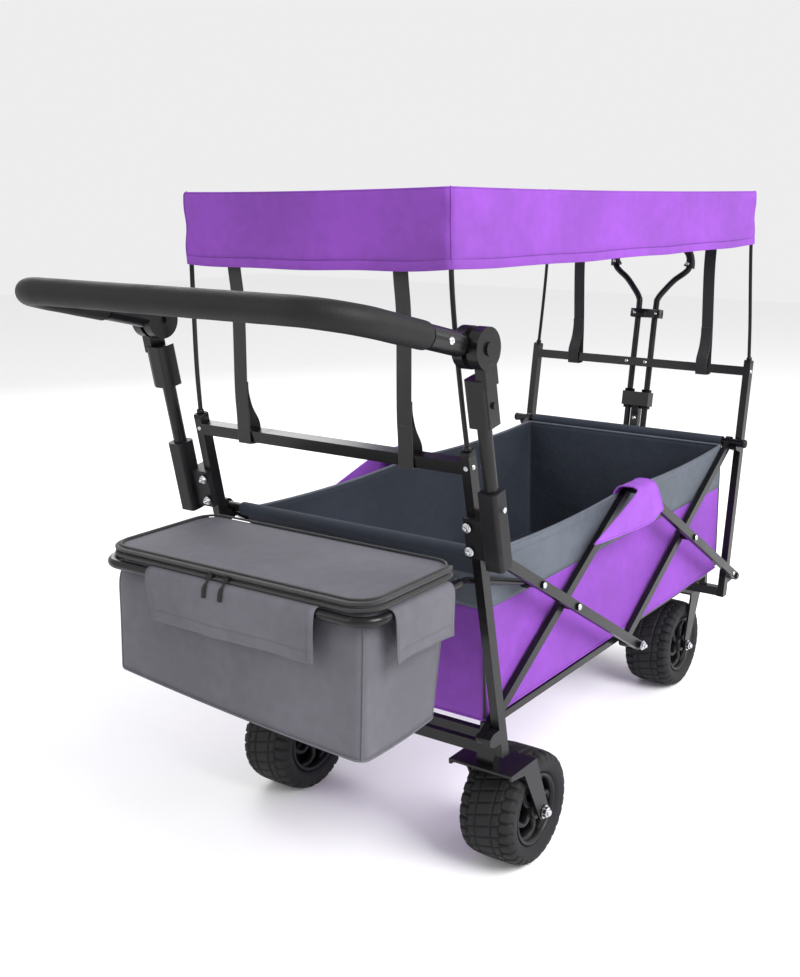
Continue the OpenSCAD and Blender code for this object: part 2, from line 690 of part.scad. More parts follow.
placed() post(-1, 1);  // rear_post_right
placed() post(-1, -1);  // rear_post_left
placed() crossbar(-1);  // rear_crossbar
placed() rear_beam();
placed() rails(-1);  // rear_rails
placed() rear_bracket(1);  // rear_bracket_right
placed() rear_bracket(-1);  // rear_bracket_left
placed() sleeve(1);  // sleeve_right
placed() sleeve(-1);  // sleeve_left
placed() canopy_rod(-1, 1);  // rod_rear_right
placed() canopy_rod(-1, -1);  // rod_rear_left
placed() strap(-1, 1);  // strap_rear_right
placed() strap(-1, -1);  // strap_rear_left
placed() canopy();
placed() tub();
placed() flap(1);  // flap_right
placed() flap(-1);  // flap_left
placed() tyre(-rear_axle_x, -rear_wheel_y);  // tyre_rear_right
placed() tyre(-rear_axle_x, rear_wheel_y);  // tyre_rear_left
placed() rim(-rear_axle_x, -rear_wheel_y);  // rim_rear_right
placed() rim(-rear_axle_x, rear_wheel_y);  // rim_rear_left
placed() bar_b(1);  // bar_b_right
placed() bar_b(-1);  // bar_b_left
placed() bar_a(1);  // bar_a_right
placed() bar_a(-1);  // bar_a_left
placed() cross_tube(-1);  // cross_tube_rear
placed() bar_d(1);  // bar_d_right
placed() bar_d(-1);  // bar_d_left
placed() bar_c(1);  // bar_c_right
placed() bar_c(-1);  // bar_c_left
placed() cross_tube(1);  // cross_tube_front
placed() post(1, 1);  // front_post_right
placed() post(1, -1);  // front_post_left
placed() crossbar(1);  // front_crossbar
placed() front_beam();
placed() rails(1);  // front_rails
placed() canopy_rod(1, 1);  // rod_front_right
placed() canopy_rod(1, -1);  // rod_front_left
placed() strap(1, 1);  // strap_front_right
placed() strap(1, -1);  // strap_front_left
placed() fork(1);  // fork_right
placed() fork(-1);  // fork_left
placed() tyre(swivel_x - caster_trail, -front_track);  // tyre_front_right
placed() tyre(swivel_x - caster_trail, front_track);  // tyre_front_left
placed() rim(swivel_x - caster_trail, -front_track);  // rim_front_right
placed() rim(swivel_x - caster_trail, front_track);  // rim_front_left
placed() push_tube(1);  // push_tube_right
placed() push_tube(-1);  // push_tube_left
placed() push_bar();
placed() push_foam();
placed() snap(1);  // snap_right
placed() snap(-1);  // snap_left
placed() pull_arm();
placed() pull_grip();
placed() basket_frame();
placed() storage_bag();
placed() bag_lid();
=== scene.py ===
"""Folding pull wagon: soft goods, wheels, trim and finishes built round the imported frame.

All shapes are worked out in millimetres in the wagon's own frame (origin on the
ground midway between the end frames, +X to the pull handle, +Z up) and are moved
to the row frame, in metres, when their mesh is made.
"""
import logging
from dataclasses import dataclass, field
from enum import Enum
from math import atan2, cos, pi, radians, sin, tan
from typing import Callable, Iterable, Optional, Sequence

import bmesh
import bpy
import numpy as np
from mathutils import Matrix, Vector


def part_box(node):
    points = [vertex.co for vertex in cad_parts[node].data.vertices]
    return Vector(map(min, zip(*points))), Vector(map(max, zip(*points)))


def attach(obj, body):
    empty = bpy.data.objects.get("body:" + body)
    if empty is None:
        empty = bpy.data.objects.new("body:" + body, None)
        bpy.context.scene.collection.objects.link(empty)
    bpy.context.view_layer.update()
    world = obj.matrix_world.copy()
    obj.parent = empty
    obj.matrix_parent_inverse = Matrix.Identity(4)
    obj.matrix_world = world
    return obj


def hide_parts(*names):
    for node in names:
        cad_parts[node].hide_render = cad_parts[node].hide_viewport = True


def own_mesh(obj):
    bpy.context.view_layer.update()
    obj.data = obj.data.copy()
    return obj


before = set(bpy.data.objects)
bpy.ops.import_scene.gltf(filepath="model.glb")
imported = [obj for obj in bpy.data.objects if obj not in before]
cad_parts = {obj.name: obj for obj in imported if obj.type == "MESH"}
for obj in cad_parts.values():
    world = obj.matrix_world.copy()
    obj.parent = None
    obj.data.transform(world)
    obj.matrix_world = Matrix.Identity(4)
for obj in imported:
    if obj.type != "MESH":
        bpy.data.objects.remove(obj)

LOG = logging.getLogger("wagon")
MM = 0.001
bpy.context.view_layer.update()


def _centre_x() -> float:
    """Row X, in mm, of the point midway between the two cross tubes."""
    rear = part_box("cross_tube_rear")
    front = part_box("cross_tube_front")
    return 0.25 * (rear[0][0] + rear[1][0] + front[0][0] + front[1][0]) / MM


SHIFT_X = _centre_x()


class Side(Enum):
    """The two long sides of the wagon, with the sign of their Y."""

    RIGHT = -1
    LEFT = 1

    @property
    def word(self) -> str:
        """Lower-case name used in node names."""
        return self.name.lower()


class End(Enum):
    """The two ends of the wagon, with the sign of their X."""

    REAR = -1
    FRONT = 1

    @property
    def word(self) -> str:
        """Lower-case name used in node names."""
        return self.name.lower()


# --------------------------------------------------------------------------
# Sizes shared by the classes
# --------------------------------------------------------------------------


@dataclass(frozen=True)
class Layout:
    """Main sizes of the frame, in mm."""

    pivot_x: float = 458.5
    lean: float = radians(10.6)
    post_foot_x: float = 425.0
    post_foot_z: float = 208.0
    post_y: float = 250.0
    pivot_low: float = 245.0
    pivot_high: float = 526.0
    inner_y: float = 237.0
    outer_y: float = 263.0
    bar_t: float = 10.0
    cross_r: float = 8.0
    tub_y: float = 229.0
    tub_x: float = 440.0
    tub_top: float = 522.0
    tub_floor: float = 262.0
    canopy_top: float = 1027.0
    canopy_x: float = 538.0
    canopy_y: float = 243.0
    crossbar_z: float = 666.0
    fold_keep: float = 0.5055
    canopy_keep: float = 0.579

    def post_x(self, z: float) -> float:
        """Distance of a post's centre line from the middle at height z."""
        return self.post_foot_x + (z - self.post_foot_z) * tan(self.lean)

    def up_post(self, end: End) -> np.ndarray:
        """Unit vector that runs up the leaning posts of one end."""
        return np.array([end.value * sin(self.lean), 0.0, cos(self.lean)])

    def on_lean(self, end: End, off: float, y: float, along: float) -> np.ndarray:
        """Point in the leaning frame of an end.

        Args:
            end: which end frame.
            off: distance outwards from the post centre line.
            y: distance across.
            along: distance up the post from its foot.

        Returns:
            The point in the wagon frame.
        """
        out = np.array([end.value * cos(self.lean), 0.0, -sin(self.lean)])
        foot = np.array([end.value * self.post_foot_x, y, self.post_foot_z])
        return foot + out * off + self.up_post(end) * along


LAY = Layout()


# --------------------------------------------------------------------------
# Mesh tools
# --------------------------------------------------------------------------


@dataclass
class Shell:
    """Vertices, faces and cloth coordinates of a surface, in mm."""

    verts: np.ndarray
    faces: np.ndarray
    uv: Optional[np.ndarray] = None

    def plus(self, other: "Shell") -> "Shell":
        """Both surfaces as one, their faces kept apart."""
        uv = None
        if self.uv is not None and other.uv is not None:
            uv = np.vstack([self.uv, other.uv])
        return Shell(
            np.vstack([self.verts, other.verts]),
            np.vstack([self.faces, other.faces + len(self.verts)]),
            uv,
        )

    def _turned_over(self) -> np.ndarray:
        """The faces wound the other way.

        A triangle repeats its last corner, so its reversed row is turned to end
        in the repeat again.
        """
        faces = self.faces[:, ::-1].copy()
        tri = faces[:, 0] == faces[:, 1]
        faces[tri] = faces[tri][:, [1, 2, 3, 3]]
        return faces

    def flipped(self) -> "Shell":
        """The same surface with its faces turned over."""
        return Shell(self.verts, self._turned_over(), self.uv)

    def mirrored_y(self) -> "Shell":
        """The surface reflected across the XZ plane, faces still outwards."""
        v = self.verts * np.array([1.0, -1.0, 1.0])
        return Shell(v, self._turned_over(), self.uv)


def merge(shells: Iterable[Shell]) -> Shell:
    """All the surfaces as one."""
    items = list(shells)
    total = items[0]
    for item in items[1:]:
        total = total.plus(item)
    return total


def grid(points: np.ndarray, wrap_u: bool = False, wrap_v: bool = False) -> Shell:
    """Quads over a grid of points.

    Face (i, j) joins points i, i+1 along u and j, j+1 along v. UVs are the
    running lengths along each way, so that a weave keeps its real pitch.

    Args:
        points: array of shape (nu, nv, 3) in mm.
        wrap_u: joins the last row to the first.
        wrap_v: joins the last column to the first.

    Returns:
        The surface.
    """
    nu, nv = points.shape[:2]
    i = np.arange(nu if wrap_u else nu - 1)
    j = np.arange(nv if wrap_v else nv - 1)
    ii, jj = np.meshgrid(i, j, indexing="ij")
    i2, j2 = (ii + 1) % nu, (jj + 1) % nv
    faces = np.stack([ii * nv + jj, i2 * nv + jj, i2 * nv + j2, ii * nv + j2], -1)
    step_u = np.linalg.norm(np.diff(points, axis=0), axis=2).mean(axis=1)
    step_v = np.linalg.norm(np.diff(points, axis=1), axis=2).mean(axis=0)
    u = np.concatenate([[0.0], np.cumsum(step_u)])
    v = np.concatenate([[0.0], np.cumsum(step_v)])
    uu, vv = np.meshgrid(u, v, indexing="ij")
    uv = np.stack([uu, vv], -1).reshape(-1, 2)
    return Shell(points.reshape(-1, 3), faces.reshape(-1, 4), uv)


def smooth_path(ctrl: Sequence[Sequence[float]], per: int = 10, closed: bool = False) -> np.ndarray:
    """Catmull-Rom curve through the control points.

    On each span the point is the usual cubic blend of the two ends and their
    neighbours at parameter t from 0 to 1.

    Args:
        ctrl: control points in mm.
        per: points on each span.
        closed: joins the end to the start.

    Returns:
        Array of points along the curve.
    """
    c = np.asarray(ctrl, float)
    if closed:
        ext = np.vstack([c[-1], c, c[0], c[1]])
    else:
        ext = np.vstack([2 * c[0] - c[1], c, 2 * c[-1] - c[-2]])
    p0, p1, p2, p3 = ext[:-3], ext[1:-2], ext[2:-1], ext[3:]
    t = (np.arange(per) / per)[None, :, None]
    p0, p1, p2, p3 = (p[:, None, :] for p in (p0, p1, p2, p3))
    pts = 0.5 * (2 * p1 + (p2 - p0) * t + (2 * p0 - 5 * p1 + 4 * p2 - p3) * t**2 + (3 * p1 - p0 - 3 * p2 + p3) * t**3)
    pts = pts.reshape(-1, c.shape[1])
    return pts if closed else np.vstack([pts, c[-1]])


def filleted(ctrl: Sequence[Sequence[float]], radii: Sequence[float], per: int = 9) -> np.ndarray:
    """Straight runs joined by round bends.

    At each inner control point the corner is replaced by the quadratic blend
    (1-t)^2 A + 2t(1-t) B + t^2 C, where A and C lie one radius back along each
    run and B is the corner.

    Args:
        ctrl: corner points in mm.
        radii: bend setback at each inner corner.
        per: points on each bend.

    Returns:
        Array of points along the bent line.
    """
    c = np.asarray(ctrl, float)
    a, b, d = c[:-2], c[1:-1], c[2:]
    r = np.asarray(radii, float)[:, None]
    back = b - r * (b - a) / np.linalg.norm(b - a, axis=1, keepdims=True)
    on = b + r * (d - b) / np.linalg.norm(d - b, axis=1, keepdims=True)
    t = np.linspace(0, 1, per)[None, :, None]
    arc = (1 - t) ** 2 * back[:, None] + 2 * t * (1 - t) * b[:, None] + t**2 * on[:, None]
    return np.vstack([c[0], arc.reshape(-1, 3), c[-1]])


def _frames(path: np.ndarray, ref: np.ndarray, closed: bool) -> tuple[np.ndarray, np.ndarray]:
    """Two unit vectors across a path at each point: side = tangent x ref, lift = side x tangent."""
    if closed:
        tangent = np.roll(path, -1, axis=0) - np.roll(path, 1, axis=0)
    else:
        tangent = np.gradient(path, axis=0)
    tangent /= np.linalg.norm(tangent, axis=1, keepdims=True)
    side = np.cross(tangent, ref)
    side /= np.linalg.norm(side, axis=1, keepdims=True)
    return side, np.cross(side, tangent)


def sweep(path: np.ndarray, profile: np.ndarray, ref: Sequence[float], closed: bool = False, caps: bool = True, scale: Optional[np.ndarray] = None) -> Shell:
    """A closed profile carried along a path.

    Point (i, k) is path[i] + profile[k].x * side[i] + profile[k].y * lift[i].

    Args:
        path: points in mm.
        profile: closed outline of shape (k, 2), anticlockwise.
        ref: vector never along the path, which fixes the profile's turn.
        closed: the path runs back to its start.
        caps: closes both ends with a point in the middle.
        scale: size of the profile at each path point.

    Returns:
        The swept surface.
    """
    side, lift = _frames(path, np.asarray(ref, float), closed)
    size = np.ones(len(path)) if scale is None else scale
    ring = (
        path[:, None]
        + size[:, None, None] * profile[None, :, :1] * side[:, None]
        + size[:, None, None] * profile[None, :, 1:] * lift[:, None]
    )
    body = grid(ring, wrap_u=closed, wrap_v=True).flipped()
    if closed or not caps:
        return body
    n = len(profile)
    k = np.arange(n)
    k2 = (k + 1) % n
    ends = []
    for row, turn in ((0, 1), (len(path) - 1, -1)):
        middle = ring[row].mean(axis=0, keepdims=True)
        verts = np.vstack([ring[row], middle])
        tri = np.stack([k, k2, np.full(n, n), np.full(n, n)], -1)
        uv = np.zeros((n + 1, 2))
        ends.append(Shell(verts, tri if turn > 0 else tri[:, [1, 0, 2, 3]], uv))
    return merge([body] + ends)


def circle(radius: float, sides: int = 14) -> np.ndarray:
    """Closed round outline."""
    a = np.arange(sides) * 2 * pi / sides
    return radius * np.stack([np.cos(a), np.sin(a)], -1)


def slab(width: float, height: float, soft: float = 0.35, sides: int = 20) -> np.ndarray:
    """Closed superellipse outline: |cos|^soft and |sin|^soft carry their signs."""
    a = np.arange(sides) * 2 * pi / sides
    c, s = np.cos(a), np.sin(a)
    return np.stack([0.5 * width * np.sign(c) * np.abs(c) ** soft, 0.5 * height * np.sign(s) * np.abs(s) ** soft], -1)


def lathe(profile: Sequence[Sequence[float]], origin: Sequence[float], axis: Sequence[float], steps: int = 28) -> Shell:
    """A profile turned about an axis.

    Point (i, k) is origin + along[k] * axis + radius[k] * (cos a_i * e1 + sin a_i * e2).

    Args:
        profile: rows of (radius, along) in mm.
        origin: point on the axis.
        axis: direction of the axis.
        steps: points round the axis.

    Returns:
        The turned surface, faces outwards where the profile runs along +axis.
    """
    p = np.asarray(profile, float)
    w = np.asarray(axis, float) / np.linalg.norm(axis)
    e1 = np.cross(w, [0.3, 0.9, 0.2] if abs(w[2]) > 0.9 else [0, 0, 1.0])
    e1 /= np.linalg.norm(e1)
    e2 = np.cross(w, e1)
    a = np.arange(steps) * 2 * pi / steps
    radial = np.cos(a)[:, None] * e1 + np.sin(a)[:, None] * e2
    pts = np.asarray(origin, float) + p[None, :, 1:] * w + p[None, :, :1] * radial[:, None]
    return grid(pts, wrap_u=True)


def place(name: str, shell: Shell, material: bpy.types.Material, smooth: bool = True, merge_at: float = 1e-6) -> bpy.types.Object:
    """Makes a Blender object of a surface.

    Args:
        name: object name.
        shell: surface in mm in the wagon frame.
        material: its finish.
        smooth: shades it smooth.
        merge_at: distance in metres under which vertices are joined.

    Returns:
        The object, at the origin of the row frame.
    """
    verts = (shell.verts + np.array([SHIFT_X, 0.0, 0.0])) * MM
    quads = shell.faces
    tri = quads[:, 2] == quads[:, 3]
    faces = quads[~tri].tolist() + quads[tri][:, :3].tolist()
    mesh = bpy.data.meshes.new(name)
    mesh.from_pydata(verts.tolist(), [], faces)
    if shell.uv is not None:
        layer = mesh.uv_layers.new(name="cloth")
        loops = np.empty(len(mesh.loops), np.int32)
        mesh.loops.foreach_get("vertex_index", loops)
        layer.data.foreach_set("uv", (shell.uv[loops] * MM).astype(np.float32).ravel())
    mesh.validate()
    mesh.materials.append(material)
    mesh.polygons.foreach_set("use_smooth", [smooth] * len(mesh.polygons))
    obj = bpy.data.objects.new(name, mesh)
    bpy.context.scene.collection.objects.link(obj)
    if merge_at > 0:
        weld = obj.modifiers.new("weld", "WELD")
        weld.merge_threshold = merge_at
        apply_modifiers(obj)
    return obj


def apply_modifiers(obj: bpy.types.Object) -> None:
    """Bakes an object's modifiers into its mesh."""
    graph = bpy.context.evaluated_depsgraph_get()
    done = bpy.data.meshes.new_from_object(obj.evaluated_get(graph), depsgraph=graph)
    obj.modifiers.clear()
    obj.data = done


def finish_cloth(obj: bpy.types.Object, thick: float, levels: int = 0, offset: float = -1.0) -> bpy.types.Object:
    """Gives a sheet its thickness in mm and optional subdivision."""
    if levels:
        sub = obj.modifiers.new("soften", "SUBSURF")
        sub.levels = sub.render_levels = levels
    wall = obj.modifiers.new("thickness", "SOLIDIFY")
    wall.thickness = thick * MM
    wall.offset = offset
    apply_modifiers(obj)
    return obj


# --------------------------------------------------------------------------
# Shader tools
# --------------------------------------------------------------------------


class Nodes:
    """A node tree with short calls for adding and joining nodes."""

    def __init__(self, tree: bpy.types.NodeTree) -> None:
        """Wraps a tree."""
        self.tree = tree

    def add(self, kind: str, **props: object) -> bpy.types.Node:
        """Adds a node and sets its properties."""
        node = self.tree.nodes.new(kind)
        for key, value in props.items():
            setattr(node, key, value)
        return node

    def link(self, a: bpy.types.NodeSocket, b: bpy.types.NodeSocket) -> None:
        """Joins an output to an input."""
        self.tree.links.new(a, b)

    def feed(self, socket: bpy.types.NodeSocket, value: object) -> None:
        """Joins or sets an input, whichever the value is."""
        if isinstance(value, bpy.types.NodeSocket):
            self.link(value, socket)
        else:
            socket.default_value = value

    def math(self, op: str, a: object, b: object = 0.0, c: object = 0.0, clamp: bool = False) -> bpy.types.NodeSocket:
        """A Math node; returns its value."""
        node = self.add("ShaderNodeMath", operation=op, use_clamp=clamp)
        for socket, value in zip(node.inputs, (a, b, c)):
            self.feed(socket, value)
        return node.outputs[0]

    def mix(self, factor: object, a: object, b: object) -> bpy.types.NodeSocket:
        """Blend of two colours."""
        node = self.add("ShaderNodeMix", data_type="RGBA")
        self.feed(node.inputs["Factor"], factor)
        self.feed(node.inputs[6], a)
        self.feed(node.inputs[7], b)
        return node.outputs[2]

    def remap(self, value: object, low: float, high: float, to_low: float, to_high: float) -> bpy.types.NodeSocket:
        """Value carried smoothly from one range to another and held at its ends."""
        node = self.add("ShaderNodeMapRange", interpolation_type="SMOOTHSTEP")
        for socket, item in zip(node.inputs, (value, low, high, to_low, to_high)):
            self.feed(socket, item)
        return node.outputs[0]

    def noise(self, vector: object, scale: object, detail: float = 3.0, rough: float = 0.5, distort: float = 0.0) -> bpy.types.NodeSocket:
        """Noise value from 0 to 1."""
        node = self.add("ShaderNodeTexNoise")
        self.feed(node.inputs["Vector"], vector)
        self.feed(node.inputs["Scale"], scale)
        node.inputs["Detail"].default_value = detail
        node.inputs["Roughness"].default_value = rough
        node.inputs["Distortion"].default_value = distort
        return node.outputs[0]


class Effect(Enum):
    """Shader groups shared by the finishes."""

    WEAVE = "plain weave"
    RIB = "ribbed webbing"
    CREASE = "soft creases"
    MOTTLE = "patchy tone"
    SCUFF = "scuffs and dust"
    PEBBLE = "moulded grain"


def _socket(tree: bpy.types.NodeTree, name: str, kind: str, way: str, value: Optional[float] = None) -> None:
    """Adds one socket to a group."""
    item = tree.interface.new_socket(name=name, in_out=way, socket_type=kind)
    if value is not None:
        item.default_value = value


class Effects:
    """Builds each shader group once and hands it to the finishes."""

    def __init__(self) -> None:
        """Starts with nothing built."""
        self._made: dict[Effect, bpy.types.NodeTree] = {}

    def tree(self, effect: Effect) -> bpy.types.NodeTree:
        """The group of an effect, built when first asked for."""
        if effect not in self._made:
            self._made[effect] = getattr(self, "_" + effect.name.lower())(effect.value)
        return self._made[effect]

    def _start(self, name: str, inputs: Sequence[tuple[str, str, float]], outputs: Sequence[str]) -> tuple[Nodes, bpy.types.Node, bpy.types.Node]:
        """A new group with its sockets, its input node and its output node."""
        tree = bpy.data.node_groups.new(name, "ShaderNodeTree")
        _socket(tree, "Vector", "NodeSocketVector", "INPUT")
        for label, kind, value in inputs:
            _socket(tree, label, kind, "INPUT", value)
        for label in outputs:
            _socket(tree, label, "NodeSocketFloat", "OUTPUT")
        nodes = Nodes(tree)
        return nodes, nodes.add("NodeGroupInput"), nodes.add("NodeGroupOutput")

    def _weave(self, name: str) -> bpy.types.NodeTree:
        """Over-and-under threads.

        In thread units (a, b), warp height is |sin(pi a)| and weft height is
        |sin(pi b)|; the cell's parity, floor(a) + floor(b) modulo 2, says which
        of them is on top.
        """
        n, gi, go = self._start(name, [("Threads", "NodeSocketFloat", 1200.0)], ["Height", "Top"])
        split = n.add("ShaderNodeSeparateXYZ")
        n.link(gi.outputs["Vector"], split.inputs[0])
        a = n.math("MULTIPLY", split.outputs[0], gi.outputs["Threads"])
        b = n.math("MULTIPLY", split.outputs[1], gi.outputs["Threads"])
        wa = n.math("ABSOLUTE", n.math("SINE", n.math("MULTIPLY", a, pi)))
        wb = n.math("ABSOLUTE", n.math("SINE", n.math("MULTIPLY", b, pi)))
        cells = n.math("ADD", n.math("FLOOR", a), n.math("FLOOR", b))
        parity = n.math("FLOORED_MODULO", cells, 2.0)
        over = n.math("MULTIPLY", wa, n.math("ADD", n.math("MULTIPLY", parity, 0.6), 0.4))
        under = n.math("MULTIPLY", wb, n.math("SUBTRACT", 1.0, n.math("MULTIPLY", parity, 0.6)))
        n.link(n.math("MAXIMUM", over, under), go.inputs["Height"])
        n.link(parity, go.inputs["Top"])
        return n.tree

    def _rib(self, name: str) -> bpy.types.NodeTree:
        """Cross ribs: |sin(pi v Ribs)| along the strap, broken up by yarns across it."""
        n, gi, go = self._start(name, [("Ribs", "NodeSocketFloat", 600.0)], ["Height"])
        split = n.add("ShaderNodeSeparateXYZ")
        n.link(gi.outputs["Vector"], split.inputs[0])
        rib = n.math("ABSOLUTE", n.math("SINE", n.math("MULTIPLY", n.math("MULTIPLY", split.outputs[0], gi.outputs["Ribs"]), pi)))
        yarn = n.math("ABSOLUTE", n.math("SINE", n.math("MULTIPLY", n.math("MULTIPLY", split.outputs[1], gi.outputs["Ribs"]), pi)))
        n.link(n.math("ADD", n.math("MULTIPLY", rib, 0.7), n.math("MULTIPLY", yarn, 0.3)), go.inputs["Height"])
        return n.tree

    def _crease(self, name: str) -> bpy.types.NodeTree:
        """Creases: one minus the size of a centred, stretched noise, sharpened, plus a slow swell."""
        n, gi, go = self._start(name, [("Scale", "NodeSocketFloat", 14.0)], ["Height"])
        slow = n.noise(gi.outputs["Vector"], gi.outputs["Scale"], 2.0, 0.45, 0.8)
        fast = n.noise(gi.outputs["Vector"], n.math("MULTIPLY", gi.outputs["Scale"], 3.1), 3.0, 0.55, 0.4)
        ridge = n.math("SUBTRACT", 1.0, n.math("ABSOLUTE", n.math("MULTIPLY", n.math("SUBTRACT", fast, 0.5), 3.0)))
        n.link(n.math("ADD", n.math("MULTIPLY", slow, 0.75), n.math("MULTIPLY", ridge, 0.12)), go.inputs["Height"])
        return n.tree

    def _mottle(self, name: str) -> bpy.types.NodeTree:
        """Slow and fast noise summed into one tone factor from 0 to 1."""
        n, gi, go = self._start(name, [("Scale", "NodeSocketFloat", 6.0)], ["Factor"])
        slow = n.noise(gi.outputs["Vector"], gi.outputs["Scale"], 2.0)
        fast = n.noise(gi.outputs["Vector"], n.math("MULTIPLY", gi.outputs["Scale"], 11.0), 2.0)
        n.link(n.remap(n.math("ADD", n.math("MULTIPLY", slow, 0.7), n.math("MULTIPLY", fast, 0.3)), 0.32, 0.68, 0.0, 1.0), go.inputs["Factor"])
        return n.tree

    def _scuff(self, name: str) -> bpy.types.NodeTree:
        """Fine scratches and dust patches, each as a mask."""
        n, gi, go = self._start(name, [("Scale", "NodeSocketFloat", 30.0)], ["Scratch", "Dust"])
        stretch = n.add("ShaderNodeVectorMath", operation="MULTIPLY")
        n.link(gi.outputs["Vector"], stretch.inputs[0])
        stretch.inputs[1].default_value = (1.0, 3.0, 9.0)
        line = n.noise(stretch.outputs[0], gi.outputs["Scale"], 4.0, 0.6, 0.5)
        n.link(n.remap(line, 0.64, 0.72, 0.0, 1.0), go.inputs["Scratch"])
        dust = n.noise(gi.outputs["Vector"], n.math("MULTIPLY", gi.outputs["Scale"], 0.5), 4.0, 0.62)
        n.link(n.remap(dust, 0.5, 0.74, 0.0, 1.0), go.inputs["Dust"])
        return n.tree

    def _pebble(self, name: str) -> bpy.types.NodeTree:
        """Moulded grain: cell distance from a Voronoi pattern."""
        n, gi, go = self._start(name, [("Scale", "NodeSocketFloat", 900.0)], ["Height"])
        cell = n.add("ShaderNodeTexVoronoi", feature="SMOOTH_F1")
        n.link(gi.outputs["Vector"], cell.inputs["Vector"])
        n.link(gi.outputs["Scale"], cell.inputs["Scale"])
        n.link(cell.outputs["Distance"], go.inputs["Height"])
        return n.tree


EFFECTS = Effects()


def tone(red: int, green: int, blue: int) -> tuple[float, float, float, float]:
    """Linear colour of a display colour given from 0 to 255."""
    c = np.array([red, green, blue]) / 255.0
    lin = np.where(c <= 0.04045, c / 12.92, ((c + 0.055) / 1.055) ** 2.4)
    return (float(lin[0]), float(lin[1]), float(lin[2]), 1.0)


def shade(color: Sequence[float], factor: float) -> tuple[float, float, float, float]:
    """A colour made lighter or darker."""
    return (color[0] * factor, color[1] * factor, color[2] * factor, 1.0)


class Finish:
    """Common start of a finish: its material, shader, node helper and coordinates."""

    def _open(self, name: str) -> tuple[bpy.types.Material, Nodes, bpy.types.Node, bpy.types.Node]:
        """A new node material.

        Args:
            name: material name.

        Returns:
            The material, node helper, Principled shader and Texture Coordinate node.
        """
        mat = bpy.data.materials.new(name)
        mat.use_nodes = True
        n = Nodes(mat.node_tree)
        return mat, n, mat.node_tree.nodes["Principled BSDF"], n.add("ShaderNodeTexCoord")

    @staticmethod
    def _effect(n: Nodes, effect: Effect, vector: bpy.types.NodeSocket, **values: float) -> bpy.types.Node:
        """Places a shared group in a material."""
        node = n.add("ShaderNodeGroup", node_tree=EFFECTS.tree(effect))
        n.link(vector, node.inputs["Vector"])
        for key, value in values.items():
            node.inputs[key].default_value = value
        return node

    @staticmethod
    def _bump(n: Nodes, shader: bpy.types.Node, layers: Sequence[tuple[bpy.types.NodeSocket, float, float]]) -> None:
        """Stacks Bump nodes, each (height, depth in metres, strength), into the shader's normal."""
        last: Optional[bpy.types.Node] = None
        for height, depth, strength in layers:
            bump = n.add("ShaderNodeBump")
            bump.inputs["Distance"].default_value = depth
            bump.inputs["Strength"].default_value = strength
            n.link(height, bump.inputs["Height"])
            if last is not None:
                n.link(last.outputs[0], bump.inputs["Normal"])
            last = bump
        if last is not None:
            n.link(last.outputs[0], shader.inputs["Normal"])


@dataclass(frozen=True)
class Cloth(Finish):
    """Woven polyester with a soft sheen, thread relief, painted shade in the thread gaps and small creases."""

    name: str
    color: tuple[float, float, float, float]
    threads: float = 1250.0
    depth: float = 0.00022
    crease: float = 0.005
    crease_scale: float = 13.0
    contrast: float = 0.16
    roughness: float = 0.74
    sheen: float = 0.18

    def build(self) -> bpy.types.Material:
        """Makes the material."""
        mat, n, bsdf, coord = self._open(self.name)
        uv = n.add("ShaderNodeUVMap", uv_map="cloth")
        weave = self._effect(n, Effect.WEAVE, uv.outputs[0], Threads=self.threads)
        tone_patch = self._effect(n, Effect.MOTTLE, coord.outputs["Object"], Scale=5.0)
        crease = self._effect(n, Effect.CREASE, coord.outputs["Object"], Scale=self.crease_scale)
        light = shade(self.color, 1.0 + self.contrast)
        dark = shade(self.color, 1.0 - self.contrast)
        patchy = n.mix(tone_patch.outputs["Factor"], dark, light)
        # Colour drops towards 0.45 of the tone where the weave is low: painted shade in the gaps between threads.
        gap = n.remap(weave.outputs["Height"], 0.0, 0.75, 0.55, 1.0)
        threads = n.mix(gap, shade(self.color, 0.45), patchy)
        n.link(threads, bsdf.inputs["Base Color"])
        n.link(n.math("ADD", n.math("MULTIPLY", tone_patch.outputs["Factor"], 0.08), self.roughness - 0.04), bsdf.inputs["Roughness"])
        bsdf.inputs["Sheen Weight"].default_value = self.sheen
        bsdf.inputs["Sheen Roughness"].default_value = 0.45
        bsdf.inputs["Sheen Tint"].default_value = shade(self.color, 1.4)
        bsdf.inputs["Specular IOR Level"].default_value = 0.32
        self._bump(n, bsdf, [(crease.outputs["Height"], self.crease, 0.7), (weave.outputs["Height"], self.depth, 0.6)])
        return mat


@dataclass(frozen=True)
class Webbing(Finish):
    """Ribbed flat webbing or binding tape, with painted shade in the rib grooves."""

    name: str
    color: tuple[float, float, float, float]
    ribs: float = 620.0
    roughness: float = 0.68

    def build(self) -> bpy.types.Material:
        """Makes the material."""
        mat, n, bsdf, coord = self._open(self.name)
        uv = n.add("ShaderNodeUVMap", uv_map="cloth")
        rib = self._effect(n, Effect.RIB, uv.outputs[0], Ribs=self.ribs)
        patch = self._effect(n, Effect.MOTTLE, coord.outputs["Object"], Scale=30.0)
        body = n.mix(patch.outputs["Factor"], shade(self.color, 0.85), shade(self.color, 1.2))
        # Colour falls to 0.4 of the tone in the rib grooves: painted shade between the ribs.
        n.link(n.mix(rib.outputs["Height"], shade(self.color, 0.4), body), bsdf.inputs["Base Color"])
        n.link(n.math("ADD", n.math("MULTIPLY", rib.outputs["Height"], -0.12), self.roughness + 0.1), bsdf.inputs["Roughness"])
        bsdf.inputs["Sheen Weight"].default_value = 0.2
        self._bump(n, bsdf, [(rib.outputs["Height"], 0.0005, 0.8)])
        return mat


